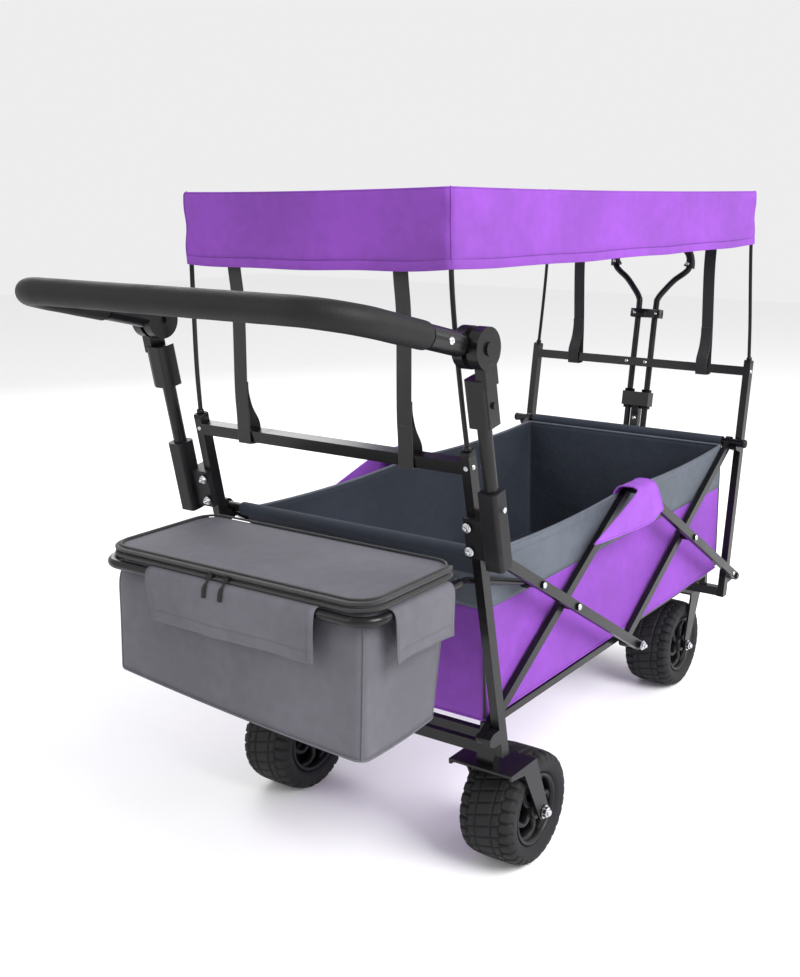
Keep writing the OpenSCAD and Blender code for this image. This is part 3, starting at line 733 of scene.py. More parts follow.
@dataclass(frozen=True)
class Enamel(Finish):
    """Glossy black enamel on steel tube, with faint orange peel, dust and hairline scratches."""

    name: str
    color: tuple[float, float, float, float]
    roughness: float = 0.3
    coat: float = 0.12

    def build(self) -> bpy.types.Material:
        """Makes the material."""
        mat, n, bsdf, coord = self._open(self.name)
        where = coord.outputs["Object"]
        scuff = self._effect(n, Effect.SCUFF, where, Scale=26.0)
        patch = self._effect(n, Effect.MOTTLE, where, Scale=9.0)
        peel = self._effect(n, Effect.PEBBLE, where, Scale=420.0)
        base = n.mix(patch.outputs["Factor"], shade(self.color, 0.8), shade(self.color, 1.25))
        dusty = n.mix(n.math("MULTIPLY", scuff.outputs["Dust"], 0.05), base, (0.1, 0.1, 0.105, 1.0))
        n.link(n.mix(n.math("MULTIPLY", scuff.outputs["Scratch"], 0.1), dusty, (0.12, 0.12, 0.125, 1.0)), bsdf.inputs["Base Color"])
        rough = n.math("ADD", n.math("MULTIPLY", scuff.outputs["Dust"], 0.14), self.roughness)
        n.link(n.math("ADD", rough, n.math("MULTIPLY", scuff.outputs["Scratch"], 0.12)), bsdf.inputs["Roughness"])
        bsdf.inputs["Specular IOR Level"].default_value = 0.22
        bsdf.inputs["Coat Weight"].default_value = self.coat
        bsdf.inputs["Coat Roughness"].default_value = 0.12
        self._bump(n, bsdf, [(peel.outputs["Height"], 0.00008, 0.25)])
        return mat


@dataclass(frozen=True)
class Moulded(Finish):
    """Moulded plastic or rubber with a fine pebble grain."""

    name: str
    color: tuple[float, float, float, float]
    roughness: float = 0.48
    grain: float = 900.0
    depth: float = 0.00012
    dust: float = 0.03
    strength: float = 0.4

    def build(self) -> bpy.types.Material:
        """Makes the material."""
        mat, n, bsdf, coord = self._open(self.name)
        where = coord.outputs["Object"]
        scuff = self._effect(n, Effect.SCUFF, where, Scale=34.0)
        grain = self._effect(n, Effect.PEBBLE, where, Scale=self.grain)
        patch = self._effect(n, Effect.MOTTLE, where, Scale=12.0)
        base = n.mix(patch.outputs["Factor"], shade(self.color, 0.85), shade(self.color, 1.2))
        n.link(n.mix(n.math("MULTIPLY", scuff.outputs["Dust"], self.dust), base, (0.3, 0.29, 0.28, 1.0)), bsdf.inputs["Base Color"])
        n.link(n.math("ADD", n.math("MULTIPLY", scuff.outputs["Dust"], 0.12), self.roughness), bsdf.inputs["Roughness"])
        bsdf.inputs["Specular IOR Level"].default_value = 0.25
        self._bump(n, bsdf, [(grain.outputs["Height"], self.depth, self.strength)])
        return mat


@dataclass(frozen=True)
class Plated(Finish):
    """Zinc-plated hardware with a faint brushed grain."""

    name: str
    color: tuple[float, float, float, float]
    roughness: float = 0.3

    def build(self) -> bpy.types.Material:
        """Makes the material."""
        mat, n, bsdf, coord = self._open(self.name)
        where = coord.outputs["Object"]
        scuff = self._effect(n, Effect.SCUFF, where, Scale=90.0)
        patch = self._effect(n, Effect.MOTTLE, where, Scale=60.0)
        n.link(n.mix(patch.outputs["Factor"], shade(self.color, 0.82), self.color), bsdf.inputs["Base Color"])
        bsdf.inputs["Metallic"].default_value = 1.0
        n.link(n.math("ADD", n.math("MULTIPLY", scuff.outputs["Scratch"], 0.16), self.roughness), bsdf.inputs["Roughness"])
        self._bump(n, bsdf, [(scuff.outputs["Scratch"], 0.00006, 0.4)])
        return mat


class Palette:
    """Every material of the wagon, built once."""

    def __init__(self) -> None:
        """Builds the materials."""
        purple = tone(124, 62, 164)
        self.purple = Cloth("purple cloth", purple).build()
        self.flap = Cloth("purple flap cloth", tone(138, 74, 180), crease=0.003).build()
        self.band = Cloth("grey band cloth", tone(86, 92, 101), threads=1100.0).build()
        self.liner = Cloth("slate lining", tone(44, 50, 60), threads=1100.0, roughness=0.8).build()
        self.bag = Cloth("grey bag cloth", tone(92, 91, 98), threads=1100.0, crease=0.004).build()
        # Black for the tub corner strips: binding, and painted shade of the dark gap where the walls meet.
        self.binding = Webbing("black binding", tone(30, 30, 33), ribs=900.0).build()
        self.webbing = Webbing("black webbing", tone(20, 20, 22)).build()
        self.zip_tape = Webbing("black zip tape", tone(22, 22, 24), ribs=1400.0).build()
        self.stitch = Webbing("stitching", tone(96, 60, 128), ribs=1800.0).build()
        self.thread = Webbing("dark thread", tone(62, 62, 68), ribs=1800.0).build()
        self.enamel = Enamel("black enamel", (0.004, 0.004, 0.0045, 1.0)).build()
        self.plastic = Moulded("satin plastic", (0.006, 0.006, 0.007, 1.0)).build()
        self.rim = Moulded("moulded rim", (0.006, 0.006, 0.007, 1.0), roughness=0.4).build()
        self.foam = Moulded("closed cell foam", (0.006, 0.006, 0.0065, 1.0), roughness=0.58, grain=520.0, depth=0.0005, strength=0.6, dust=0.015).build()
        self.rubber = Moulded("tyre rubber", (0.009, 0.009, 0.01, 1.0), roughness=0.66, grain=700.0, depth=0.0002, dust=0.035).build()
        self.zinc = Plated("zinc plating", (0.62, 0.63, 0.65, 1.0)).build()


# --------------------------------------------------------------------------
# Cloth shapes
# --------------------------------------------------------------------------


def wobble(p: np.ndarray, wave: float, seed: float) -> np.ndarray:
    """Smooth unevenness from -1 to 1 at each point.

    A sum of three sines of x, y and z with unequal wavelengths round the given
    one, each shifted by the seed.
    """
    k = 2 * pi / wave
    x, y, z = p[..., 0], p[..., 1], p[..., 2]
    a = np.sin(k * (0.83 * x + 0.41 * y + 0.37 * z) + seed)
    b = np.sin(k * (0.29 * x - 0.92 * y + 0.51 * z) * 1.37 + 2.1 * seed)
    c = np.sin(k * (-0.53 * x + 0.38 * y + 0.95 * z) * 0.71 + 3.7 * seed)
    return (a + b + c) / 3.0


@dataclass(frozen=True)
class Tray:
    """A rounded rectangle in plan, as a flat grid and as rings round it."""

    half_x: float
    half_y: float
    corner: float
    cells_x: int = 44
    cells_y: int = 22
    cells_corner: int = 4
    centre_x: float = 0.0

    def _axis(self, half: float, cells: int) -> np.ndarray:
        """Coordinates from -half to half, with finer steps inside the corners."""
        run = np.linspace(-half + self.corner, half - self.corner, cells + 1)
        edge = np.linspace(0, self.corner, self.cells_corner + 1)[:-1]
        return np.concatenate([-half + edge, run, (half - edge)[::-1]])

    def flat(self, z: float, shrink: float = 0.0) -> np.ndarray:
        """Grid of points over the plan at height z.

        Inside each corner square the two distances (a, b) from its inner sides,
        scaled to 0..1, move to a*sqrt(1 - b^2/2) and b*sqrt(1 - a^2/2), which
        carries the square to a quarter disc.
        """
        hx, hy, c = self.half_x - shrink, self.half_y - shrink, max(self.corner - shrink, 0.5)
        gx = self._axis(self.half_x, self.cells_x) * hx / self.half_x
        gy = self._axis(self.half_y, self.cells_y) * hy / self.half_y
        x, y = np.meshgrid(gx, gy, indexing="ij")
        a = np.clip((np.abs(x) - (hx - c)) / c, 0, 1)
        b = np.clip((np.abs(y) - (hy - c)) / c, 0, 1)
        inner_x, inner_y = np.minimum(np.abs(x), hx - c), np.minimum(np.abs(y), hy - c)
        nx = np.sign(x) * (inner_x + c * a * np.sqrt(1 - b * b / 2))
        ny = np.sign(y) * (inner_y + c * b * np.sqrt(1 - a * a / 2))
        return np.stack([nx + self.centre_x, ny, np.full_like(nx, z)], -1)

    def loop(self, z: float, shrink: float = 0.0) -> np.ndarray:
        """Edge of the flat grid, anticlockwise from its first corner."""
        f = self.flat(z, shrink)
        return np.concatenate([f[:-1, 0], f[-1, :-1], f[:0:-1, -1], f[0, :0:-1]])

    def outward(self) -> np.ndarray:
        """Unit vectors pointing out of the plan at each loop point."""
        p = self.loop(0.0)
        t = np.roll(p, -1, axis=0) - np.roll(p, 1, axis=0)
        n = np.stack([t[:, 1], -t[:, 0], np.zeros(len(p))], -1)
        return n / np.linalg.norm(n, axis=1, keepdims=True)

    def along(self) -> np.ndarray:
        """How far each loop point is along its side, from -1 to 1."""
        p = self.loop(0.0)
        x, y = (p[:, 0] - self.centre_x) / self.half_x, p[:, 1] / self.half_y
        on_end = np.abs(x) > np.abs(y)
        return np.where(on_end, y, x)

    def wall(self, levels: Sequence[tuple[float, float]]) -> np.ndarray:
        """Rings stacked at (height, inset) levels: array (loop, level, 3)."""
        return np.stack([self.loop(z, inset) for z, inset in levels], axis=1)


def piping(path: np.ndarray, radius: float, closed: bool, ref: Sequence[float] = (0.0, 0.0, 1.0), sides: int = 8) -> Shell:
    """Thin round cord sewn along a path."""
    return sweep(path, circle(radius, sides), ref, closed=closed)


def stitches(path: np.ndarray, out: np.ndarray, pitch: float = 4.0, length: float = 2.7, radius: float = 0.35, closed: bool = False) -> Shell:
    """A row of thread stitches lying on a surface.

    Each stitch is a six-point spindle: two tips half a length either side of its
    middle, and four points one radius off it along out and across.

    Args:
        path: points on the surface in mm.
        out: outward unit vector at each point, or one for all.
        pitch: distance from stitch to stitch.
        length: length of a stitch.
        radius: half its thickness.
        closed: the row runs back to its start.

    Returns:
        The stitches as one surface.
    """
    p = np.vstack([path, path[:1]]) if closed else path
    o = np.broadcast_to(out, path.shape)
    o = np.vstack([o, o[:1]]) if closed else o
    run = np.concatenate([[0.0], np.cumsum(np.linalg.norm(np.diff(p, axis=0), axis=1))])
    at = np.arange(pitch / 2, run[-1], pitch)
    mid = np.stack([np.interp(at, run, p[:, k]) for k in range(3)], -1)
    ahead = np.stack([np.interp(at + 1.0, run, p[:, k]) for k in range(3)], -1)
    behind = np.stack([np.interp(at - 1.0, run, p[:, k]) for k in range(3)], -1)
    t = ahead - behind
    t /= np.maximum(np.linalg.norm(t, axis=1, keepdims=True), 1e-9)
    n = np.stack([np.interp(at, run, o[:, k]) for k in range(3)], -1)
    n -= (n * t).sum(1, keepdims=True) * t
    n /= np.linalg.norm(n, axis=1, keepdims=True)
    b = np.cross(t, n)
    verts = np.stack([mid - t * length / 2, mid + n * radius, mid + b * radius, mid - n * radius, mid - b * radius, mid + t * length / 2], 1)
    base = np.array([[0, 2, 1, 1], [0, 3, 2, 2], [0, 4, 3, 3], [0, 1, 4, 4], [5, 1, 2, 2], [5, 2, 3, 3], [5, 3, 4, 4], [5, 4, 1, 1]])
    faces = (base[None] + 6 * np.arange(len(at))[:, None, None]).reshape(-1, 4)
    uv = np.tile(np.array([[0, 0], [1, 0], [0, 1], [1, 1], [0, 0], [1, 0]], float), (len(at), 1))
    return Shell(verts.reshape(-1, 3), faces, uv)


def band(path: np.ndarray, width: float, thick: float, ref: Sequence[float], closed: bool = False) -> Shell:
    """Flat tape along a path, its width running along ref."""
    return sweep(path, slab(thick, width, 0.25, 12), ref, closed=closed)


# --------------------------------------------------------------------------
# Canopy and its straps
# --------------------------------------------------------------------------


@dataclass
class Canopy:
    """Rectangular canopy stretched over four rods: one sheet with a skirt."""

    paint: Palette
    skirt: float = 104.0
    edge: float = 5.0
    corner: float = 13.0
    top_sag: float = 15.0
    skirt_pull: float = 6.0
    hem_drop: float = 4.5
    cloth: float = 1.0
    lift_rear_right: float = 7.0
    lift_rear_left: float = -3.5
    lift_front_right: float = -1.0
    body: str = "rear_frame"
    plan: Tray = field(init=False)

    def __post_init__(self) -> None:
        """Sets out the plan."""
        self.plan = Tray(LAY.canopy_x, LAY.canopy_y, self.corner, 60, 30, 4)

    def _levels(self) -> list[tuple[float, float]]:
        """Heights and insets of the skirt's rings, rounded over at the top edge."""
        hem = LAY.canopy_top - self.skirt
        rings = [(float(z), 0.0) for z in np.linspace(hem, LAY.canopy_top - self.edge, 17)]
        turn = np.linspace(0, pi / 2, 5)[1:]
        rings += [(LAY.canopy_top - self.edge * (1 - sin(t)), self.edge * (1 - cos(t))) for t in turn]
        return rings

    def _skirt_points(self) -> np.ndarray:
        """Skirt rings, drawn in between corners, with slow folds that grow to the hem.

        With w running from 0 at the top edge to 1 at the hem and s along each side
        from -1 to 1: inward pull = skirt_pull * (1 - s^2) * sin(pi w), fold = 2.4 w *
        sin of s, hem drop = hem_drop * w^2 * (1 - s^2).
        """
        pts = self.plan.wall(self._levels())
        out = self.plan.outward()[:, None, :]
        s = self.plan.along()[:, None]
        w = (LAY.canopy_top - pts[..., 2]) / self.skirt
        room = 1 - s**4
        pull = -self.skirt_pull * (1 - s**2) * np.sin(pi * np.clip(w, 0, 1)) * 0.9
        x, y = pts[..., 0], pts[..., 1]
        fold = 2.0 * w * room * np.sin(0.0155 * x + 0.021 * y + 0.9) + 1.2 * w * room * np.sin(0.043 * x - 0.037 * y)
        corner_crease = 1.6 * np.exp(-(((1 - np.abs(s)) / 0.16) ** 2)) * np.sin(9 * w + 26 * (1 - np.abs(s))) * np.sin(pi * np.clip(w, 0, 1))
        pts = pts + out * (pull + fold + corner_crease)[..., None]
        pts[..., 2] -= self.hem_drop * w**2 * room + 0.8 * w * np.sin(0.021 * x + 0.03 * y) * room
        pts[..., 2] -= self._top_sag(pts[..., 0], pts[..., 1]) * np.clip(1 - w * 6, 0, 1)
        pts[..., 2] += self._corner_lift(x, y)
        return pts

    def _corner_lift(self, x: np.ndarray, y: np.ndarray) -> np.ndarray:
        """How much higher the cloth sits at each point: the four corners' lifts blended linearly."""
        u, v = 0.5 + 0.5 * x / LAY.canopy_x, 0.5 + 0.5 * y / LAY.canopy_y
        rear = self.lift_rear_right * (1 - v) + self.lift_rear_left * v
        return rear * (1 - u) + self.lift_front_right * u * (1 - v)

    def _top_sag(self, x: np.ndarray, y: np.ndarray) -> np.ndarray:
        """Depth of the top below its corners.

        The edges sag between the rods as 4 (1 - u^2) and 2 (1 - v^2), and the
        field between them by top_sag (1 - u^2)(1 - v^2), with small tension folds.
        """
        u, v = np.clip(np.abs(x) / LAY.canopy_x, 0, 1), np.clip(np.abs(y) / LAY.canopy_y, 0, 1)
        rim = 3.5 * (1 - u**2) * v**3 + 2.0 * (1 - v**2) * u**3
        field_sag = self.top_sag * (1 - u**2.5) * (1 - v**2.5)
        folds = 0.8 * (1 - u) * (1 - v) * np.sin(0.03 * x) * np.sin(0.035 * y + 1)
        return rim + field_sag + folds

    def build(self) -> list[bpy.types.Object]:
        """Makes the sheet, its seams and its hem.

        Returns:
            The pieces.
        """
        skirt = self._skirt_points()
        top = self.plan.flat(LAY.canopy_top, self.edge)
        top[..., 2] += self._corner_lift(top[..., 0], top[..., 1]) - self._top_sag(top[..., 0], top[..., 1])
        skirt[:, -1] = np.concatenate([top[:-1, 0], top[-1, :-1], top[:0:-1, -1], top[0, :0:-1]])
        sheet = place("canopy_sheet", merge([grid(top), grid(skirt, wrap_u=True)]), self.paint.purple, merge_at=2e-5)
        finish_cloth(sheet, self.cloth)
        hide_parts("canopy")
        out = self.plan.outward()
        hem_path = skirt[:, 0] + out * 0.4 + np.array([0, 0, 6.0])
        hem = place("canopy_hem", band(hem_path, 13.0, 2.2, (0, 0, 1), closed=True), self.paint.purple)
        hem_row = stitches(skirt[:, 2] + out * 0.6, out, 3.6, 2.6, 0.32, closed=True)
        posts = []
        for sx in (-1, 1):
            for sy in (-1, 1):
                corner = np.argmin(np.linalg.norm(skirt[:, 0, :2] - np.array([sx * LAY.canopy_x, sy * LAY.canopy_y]), axis=1))
                line = skirt[corner] + out[corner] * 0.5
                posts.append(piping(line, 1.0, False, ref=(1, 0.3, 0), sides=8))
        seams = place("canopy_seams", merge(posts), self.paint.purple)
        thread = place("canopy_stitches", hem_row, self.paint.stitch)
        edge_path = skirt[:, -3] + out * 0.2
        edge = place("canopy_edge_piping", piping(edge_path, 1.1, True), self.paint.purple)
        pieces = [sheet, hem, seams, thread, edge]
        for piece in pieces:
            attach(piece, self.body)
            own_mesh(piece)
        return pieces


@dataclass
class Strap:
    """Webbing strap from the canopy down and round an end crossbar, stitched to itself."""

    paint: Palette
    end: End
    side: Side
    width: float = 25.0
    thick: float = 1.8
    y: float = 152.0
    loop_height: float = 72.0

    def _path(self) -> np.ndarray:
        """Side view of the strap: down from the canopy, round the bar, back up to its tail.

        The bar is a leaning square, so the loop's points are its corners pushed
        out by the strap's thickness, joined by short round bends.
        """
        e = self.end.value
        z = LAY.crossbar_z
        x = LAY.post_x(z)
        pts = [
            (LAY.canopy_x - 9.0, LAY.canopy_top - 10.0),
            (LAY.canopy_x - 10.5, 925.0),
            (LAY.canopy_x - 16.0, 860.0),
            (x + 13.5, z + self.loop_height),
            (x + 12.0, z + 30.0),
            (x + 10.8, z - 8.0),
            (x + 8.0, z - 12.4),
            (x - 7.5, z - 12.8),
            (x - 11.6, z - 9.5),
            (x - 11.2, z + 9.0),
            (x - 8.0, z + 22.0),
            (x + 4.0, z + 0.6 * self.loop_height),
            (x + 10.4, z + self.loop_height - 6.0),
            (x + 11.2, z + self.loop_height + 10.0),
        ]
        path = smooth_path(pts, 7)
        return np.stack([e * path[:, 0], np.full(len(path), self.side.value * self.y), path[:, 1]], -1)

    def build(self) -> list[bpy.types.Object]:
        """Makes the strap and its sewn tail end."""
        path = self._path()
        tag = f"{self.end.word}_{self.side.word}"
        name = "canopy_strap_" + tag
        strap = place(name, sweep(path, slab(self.thick, self.width, 0.2, 16), (0, 1, 0)), self.paint.webbing)
        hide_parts("strap_" + tag)
        e = self.end.value
        z = LAY.crossbar_z
        x = LAY.post_x(z) + 12.6
        half = self.width / 2 - 2.5
        rows = []
        for dz in (self.loop_height - 24, self.loop_height - 6):
            line = np.array([[e * (x + 1.4), self.side.value * self.y + t, z + dz] for t in (-half, half)])
            rows.append(stitches(np.linspace(line[0], line[1], 12), np.array([e, 0.0, 0.0]), 3.0, 2.2, 0.35))
        thread = place(name + "_stitches", merge(rows), self.paint.thread)
        body = "rear_frame" if self.end is End.REAR else "front_frame"
        for piece in (strap, thread):
            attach(piece, body)
        return [strap, thread]


@dataclass
class Rod:
    """Springy canopy rod standing in a post top."""

    paint: Palette
    end: End
    side: Side
    radius: float = 3.5

    def build(self) -> list[bpy.types.Object]:
        """Makes the rod and its ferrule."""
        e, s = self.end.value, self.side.value
        foot_z = 686.0
        foot_x = LAY.post_x(foot_z)
        pts = [
            (e * foot_x, s * LAY.post_y, foot_z),
            (e * (foot_x + 7.5), s * (LAY.post_y - 4.5), 760.0),
            (e * (LAY.canopy_x - 10.5), s * (LAY.post_y - 10.5), 850.0),
            (e * (LAY.canopy_x - 8.0), s * (LAY.post_y - 14.0), 925.0),
            (e * (LAY.canopy_x - 8.5), s * (LAY.post_y - 14.5), LAY.canopy_top - 7.0),
        ]
        tag = f"{self.end.word}_{self.side.word}"
        rod = sweep(smooth_path(pts, 12), circle(self.radius, 14), (0, 1, 0))
        ferrule = lathe([(0.0, 0.0), (5.6, 0.0), (5.6, 6.5), (4.9, 8.5), (3.4, 10.0), (0.0, 10.0)], pts[0], LAY.up_post(self.end), 20)
        piece = place("canopy_rod_" + tag, merge([rod, ferrule]), self.paint.enamel)
        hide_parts("rod_" + tag)
        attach(piece, "rear_frame" if self.end is End.REAR else "front_frame")
        return [piece]


# --------------------------------------------------------------------------
# Tub and its flaps
# --------------------------------------------------------------------------


@dataclass
class Tub:
    """Fabric tub hung from the two cross tubes, with a grey band and a slate lining."""

    paint: Palette
    corner: float = 9.0
    band_low: float = 440.0
    cloth: float = 1.2
    rim_sag: float = 8.0
    wall_pull: float = 5.0
    tube_wrap: float = 10.6
    body: str = "tub"

    def _move(self, pts: np.ndarray, plan: Tray, sign: float, seed: float) -> np.ndarray:
        """Hangs the walls.

        With h from 0 at the floor to 1 at the rim and s along each side from -1
        to 1: inward pull = wall_pull * sin(pi h) * (1 - s^2), the rim sags by
        rim_sag * (1 - (2|s| - 1)^2) on the long sides, and slow folds run
        between the corners.
        """
        out = plan.outward()[:, None, :]
        s = plan.along()[:, None]
        h = np.clip((pts[..., 2] - LAY.tub_floor) / (LAY.tub_top - LAY.tub_floor), 0, 1)
        long_side = (np.abs(out[..., 1]) > 0.7).astype(float)
        pull = -self.wall_pull * np.sin(pi * h) * (1 - s**2)
        edge_in = -5.0 * np.sin(pi * h) * (1 - long_side) * (1 - np.abs(s) ** 3)
        fold = 1.3 * wobble(pts, 210.0, seed) * np.sin(pi * np.clip(h, 0, 1)) * (1 - s**4)
        moved = pts + out * (pull + edge_in + fold)[..., None]
        dip = self.rim_sag * (1 - (2 * np.abs(s) - 1) ** 2) * long_side
        moved[..., 2] -= dip * h**3
        return moved

    def _floor(self, plan: Tray, z: float, seed: float) -> np.ndarray:
        """Floor grid with a slight hang of 3 (1 - u^2)(1 - v^2)."""
        f = plan.flat(z)
        u, v = f[..., 0] / plan.half_x, f[..., 1] / plan.half_y
        f[..., 2] += -2.2 * (1 - u**2) * (1 - v**2) + 0.8 * wobble(f, 190.0, seed) * (1 - u**4) * (1 - v**4)
        return f

    def _hem(self, end: End) -> Shell:
        """Sleeve of the end panel round its cross tube, as a teardrop carried across."""
        e = end.value
        a = np.linspace(radians(-128), radians(196), 30)
        r = self.tube_wrap
        ring = np.stack([LAY.pivot_x + r * np.cos(a), LAY.pivot_high + r * np.sin(a)], -1)
        tail = np.array([[LAY.tub_x - 1.2, LAY.tub_top - 34.0], [LAY.tub_x + 0.4, LAY.tub_top - 34.0]])
        outline = np.vstack([ring, tail])
        y = np.linspace(-LAY.tub_y + 5, LAY.tub_y - 5, 60)
        sag = 0.9 * np.sin(0.031 * y) * (1 - (y / LAY.tub_y) ** 4)
        pts = np.stack(
            [np.broadcast_to(e * outline[None, :, 0], (60, len(outline))) + 0 * y[:, None], np.broadcast_to(y[:, None], (60, len(outline))), outline[None, :, 1] + sag[:, None] * (outline[None, :, 1] < LAY.pivot_high - 8)],
            -1,
        )
        shell = grid(pts, wrap_v=True)
        return shell.flipped() if e > 0 else shell

    def build(self) -> list[bpy.types.Object]:
        """Makes the outer walls, band, lining, hems, black corner strips (binding with painted corner shade) and stitch
        lines.
        """
        plan = Tray(LAY.tub_x, LAY.tub_y, self.corner, 64, 34, 4)
        rise = np.linspace(LAY.tub_floor + 3, self.band_low, 20)
        low = [(LAY.tub_floor, 3.0), (LAY.tub_floor + 0.9, 0.9)] + [(float(z), 0.0) for z in rise]
        wall = self._move(plan.wall(low), plan, 1, 1.3)
        base = self._floor(plan, LAY.tub_floor, 1.0)
        base_loop = np.concatenate([base[:-1, 0], base[-1, :-1], base[:0:-1, -1], base[0, :0:-1]])
        start = wall[:, :1].copy()
        start[:, 0] = base_loop
        outer = merge([grid(base).flipped(), grid(np.concatenate([start, wall[:, 1:]], axis=1), wrap_u=True)])
        shell = place("tub_outer", outer, self.paint.purple, merge_at=2e-5)
        finish_cloth(shell, self.cloth)
        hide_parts("tub")

        upper = [(float(z), -0.5) for z in np.linspace(self.band_low - 5, LAY.tub_top, 14)]
        upper_pts = self._move(plan.wall(upper), plan, 1, 1.3)
        grey = place("tub_band", grid(upper_pts, wrap_u=True), self.paint.band)
        finish_cloth(grey, self.cloth)

        inner = Tray(LAY.tub_x - 3.4, LAY.tub_y - 3.4, 7.0, 64, 34, 4)
        levels = [(LAY.tub_floor + 4, 0.0)] + [(float(z), 0.0) for z in np.linspace(LAY.tub_floor + 7, LAY.tub_top - 0.5, 26)]
        in_pts = self._move(inner.wall(levels), inner, -1, 1.3)
        floor = self._floor(inner, LAY.tub_floor + 4, 4.0)
        in_pts[:, 0] = np.concatenate([floor[:-1, 0], floor[-1, :-1], floor[:0:-1, -1], floor[0, :0:-1]])
        liner = place("tub_lining", merge([grid(floor), grid(in_pts, wrap_u=True).flipped()]), self.paint.liner, merge_at=2e-5)
        finish_cloth(liner, 0.9)

        out = plan.outward()
        rim_path = 0.5 * (upper_pts[:, -1] + in_pts[:, -1])
        rim = place("tub_rim", sweep(rim_path + np.array([0, 0, 0.2]), slab(6.2, 4.0, 0.7, 12), (0, 0, 1), closed=True), self.paint.band)
        hems = place("tub_hems", merge([self._hem(e) for e in End]), self.paint.liner)

        # Black strips up the four corners: binding, and painted shade of the dark gap where the walls meet.
        bands = []
        for sx in (-1, 1):
            for sy in (-1, 1):
                z = np.linspace(LAY.tub_floor + 4, LAY.tub_top + 2, 24)
                corner_line = np.stack([sx * (LAY.tub_x - 2.4) + 0 * z, sy * (LAY.tub_y - 2.4) + 0 * z, z], -1)
                bands.append(piping(corner_line, 2.6, False, ref=(1, 0.2, 0)))
        binding = place("tub_corner_binding", merge(bands), self.paint.binding)

        rows = [
            stitches(upper_pts[:, 1] + out * 1.0, out, 4.2, 3.0, 0.3, closed=True),
            stitches(upper_pts[:, -3] + out * 1.0, out, 4.2, 3.0, 0.3, closed=True),
        ]
        thread = place("tub_stitches", merge(rows), self.paint.thread)
        bottom = wall[:, 1] + out * 0.3
        piped = place("tub_bottom_piping", piping(bottom, 1.9, True), self.paint.purple)
        pieces = [shell, grey, liner, rim, hems, binding, thread, piped]
        for piece in pieces:
            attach(piece, self.body)
            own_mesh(piece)
        return pieces


@dataclass
class Flap:
    """Shield-shaped flap hung over the top joint of one scissor side."""

    paint: Palette
    side: Side
    top_rear: float = 36.0
    top_front: float = 27.0
    reach_rear: float = 202.0
    reach_front: float = 56.0
    hem_z: float = 471.0
    corner_z: float = 483.0
    body: str = "tub"

    def build(self) -> list[bpy.types.Object]:
        """Makes the sheet with piped edges.

        A side view climbs over the joint and falls outside it. Along u from -1
        to 1 across, the distance down the side view at the hem is that of the
        low point at u = 0 and that of the corners at |u| = 1, blended by
        |u|^1.8. The width grows in a straight line from the top's, where the
        side view turns down, to the reach at the corners.
        """
        nu, nv = 44, 36
        u, v = np.meshgrid(np.linspace(-1, 1, nu), np.linspace(0, 1, nv), indexing="ij")
        side_view = smooth_path([(-226.0, 514.0), (-229.0, 526.0), (-238.0, 536.5), (-254.0, 539.5), (-268.0, 538.5), (-275.5, 532.0), (-278.0, 518.0), (-279.0, 500.0), (-279.0, 486.0), (-278.0, self.hem_z)], 8)
        seg = np.concatenate([[0.0], np.cumsum(np.linalg.norm(np.diff(side_view, axis=0), axis=1))])
        total = seg[-1]
        turn = float(seg[int(np.flatnonzero(side_view[:, 1] > 534.0)[-1])])
        at_corner = total - (self.corner_z - self.hem_z)
        d = v * (total - (total - at_corner) * np.abs(u) ** 1.8)
        grow = np.clip((d - turn) / (at_corner - turn), 0, 1)
        reach = np.where(u < 0, self.reach_rear, self.reach_front)
        top = np.where(u < 0, self.top_rear, self.top_front)
        x = u * (top + (reach - top) * grow)
        y = np.interp(d, seg, side_view[:, 0])
        z = np.interp(d, seg, side_view[:, 1])
        bow = grow * (2.0 * (1 - u**2) + 1.2 * np.sin(5 * u + 1) * v)
        pts = np.stack([x, y - bow, z], -1)
        shell = grid(pts)
        edge = np.concatenate([pts[0, :], pts[1:, -1], pts[-1, -2::-1]])
        rim = piping(edge, 1.6, False, ref=(0.05, 1, 0.1))
        inner_line = np.concatenate([pts[2, 6:-2], pts[3:-3, -3], pts[-3, -3:6:-1]])
        out = np.array([0.0, -1.0, 0.0])
        row = stitches(inner_line + out * 0.3, out, 3.8, 2.7, 0.3)
        if self.side is Side.LEFT:
            shell, rim, row = shell.mirrored_y(), rim.mirrored_y(), row.mirrored_y()
        tag = self.side.word
        sheet = place("side_flap_" + tag, shell, self.paint.flap)
        finish_cloth(sheet, 1.1, offset=0.0)
        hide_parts("flap_" + tag)
        edging = place(f"side_flap_{tag}_piping", rim, self.paint.flap)
        thread = place(f"side_flap_{tag}_stitches", row, self.paint.stitch)
        for piece in (sheet, edging, thread):
            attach(piece, self.body)
            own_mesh(piece)
        return [sheet, edging, thread]


# --------------------------------------------------------------------------
# Storage bag
# --------------------------------------------------------------------------


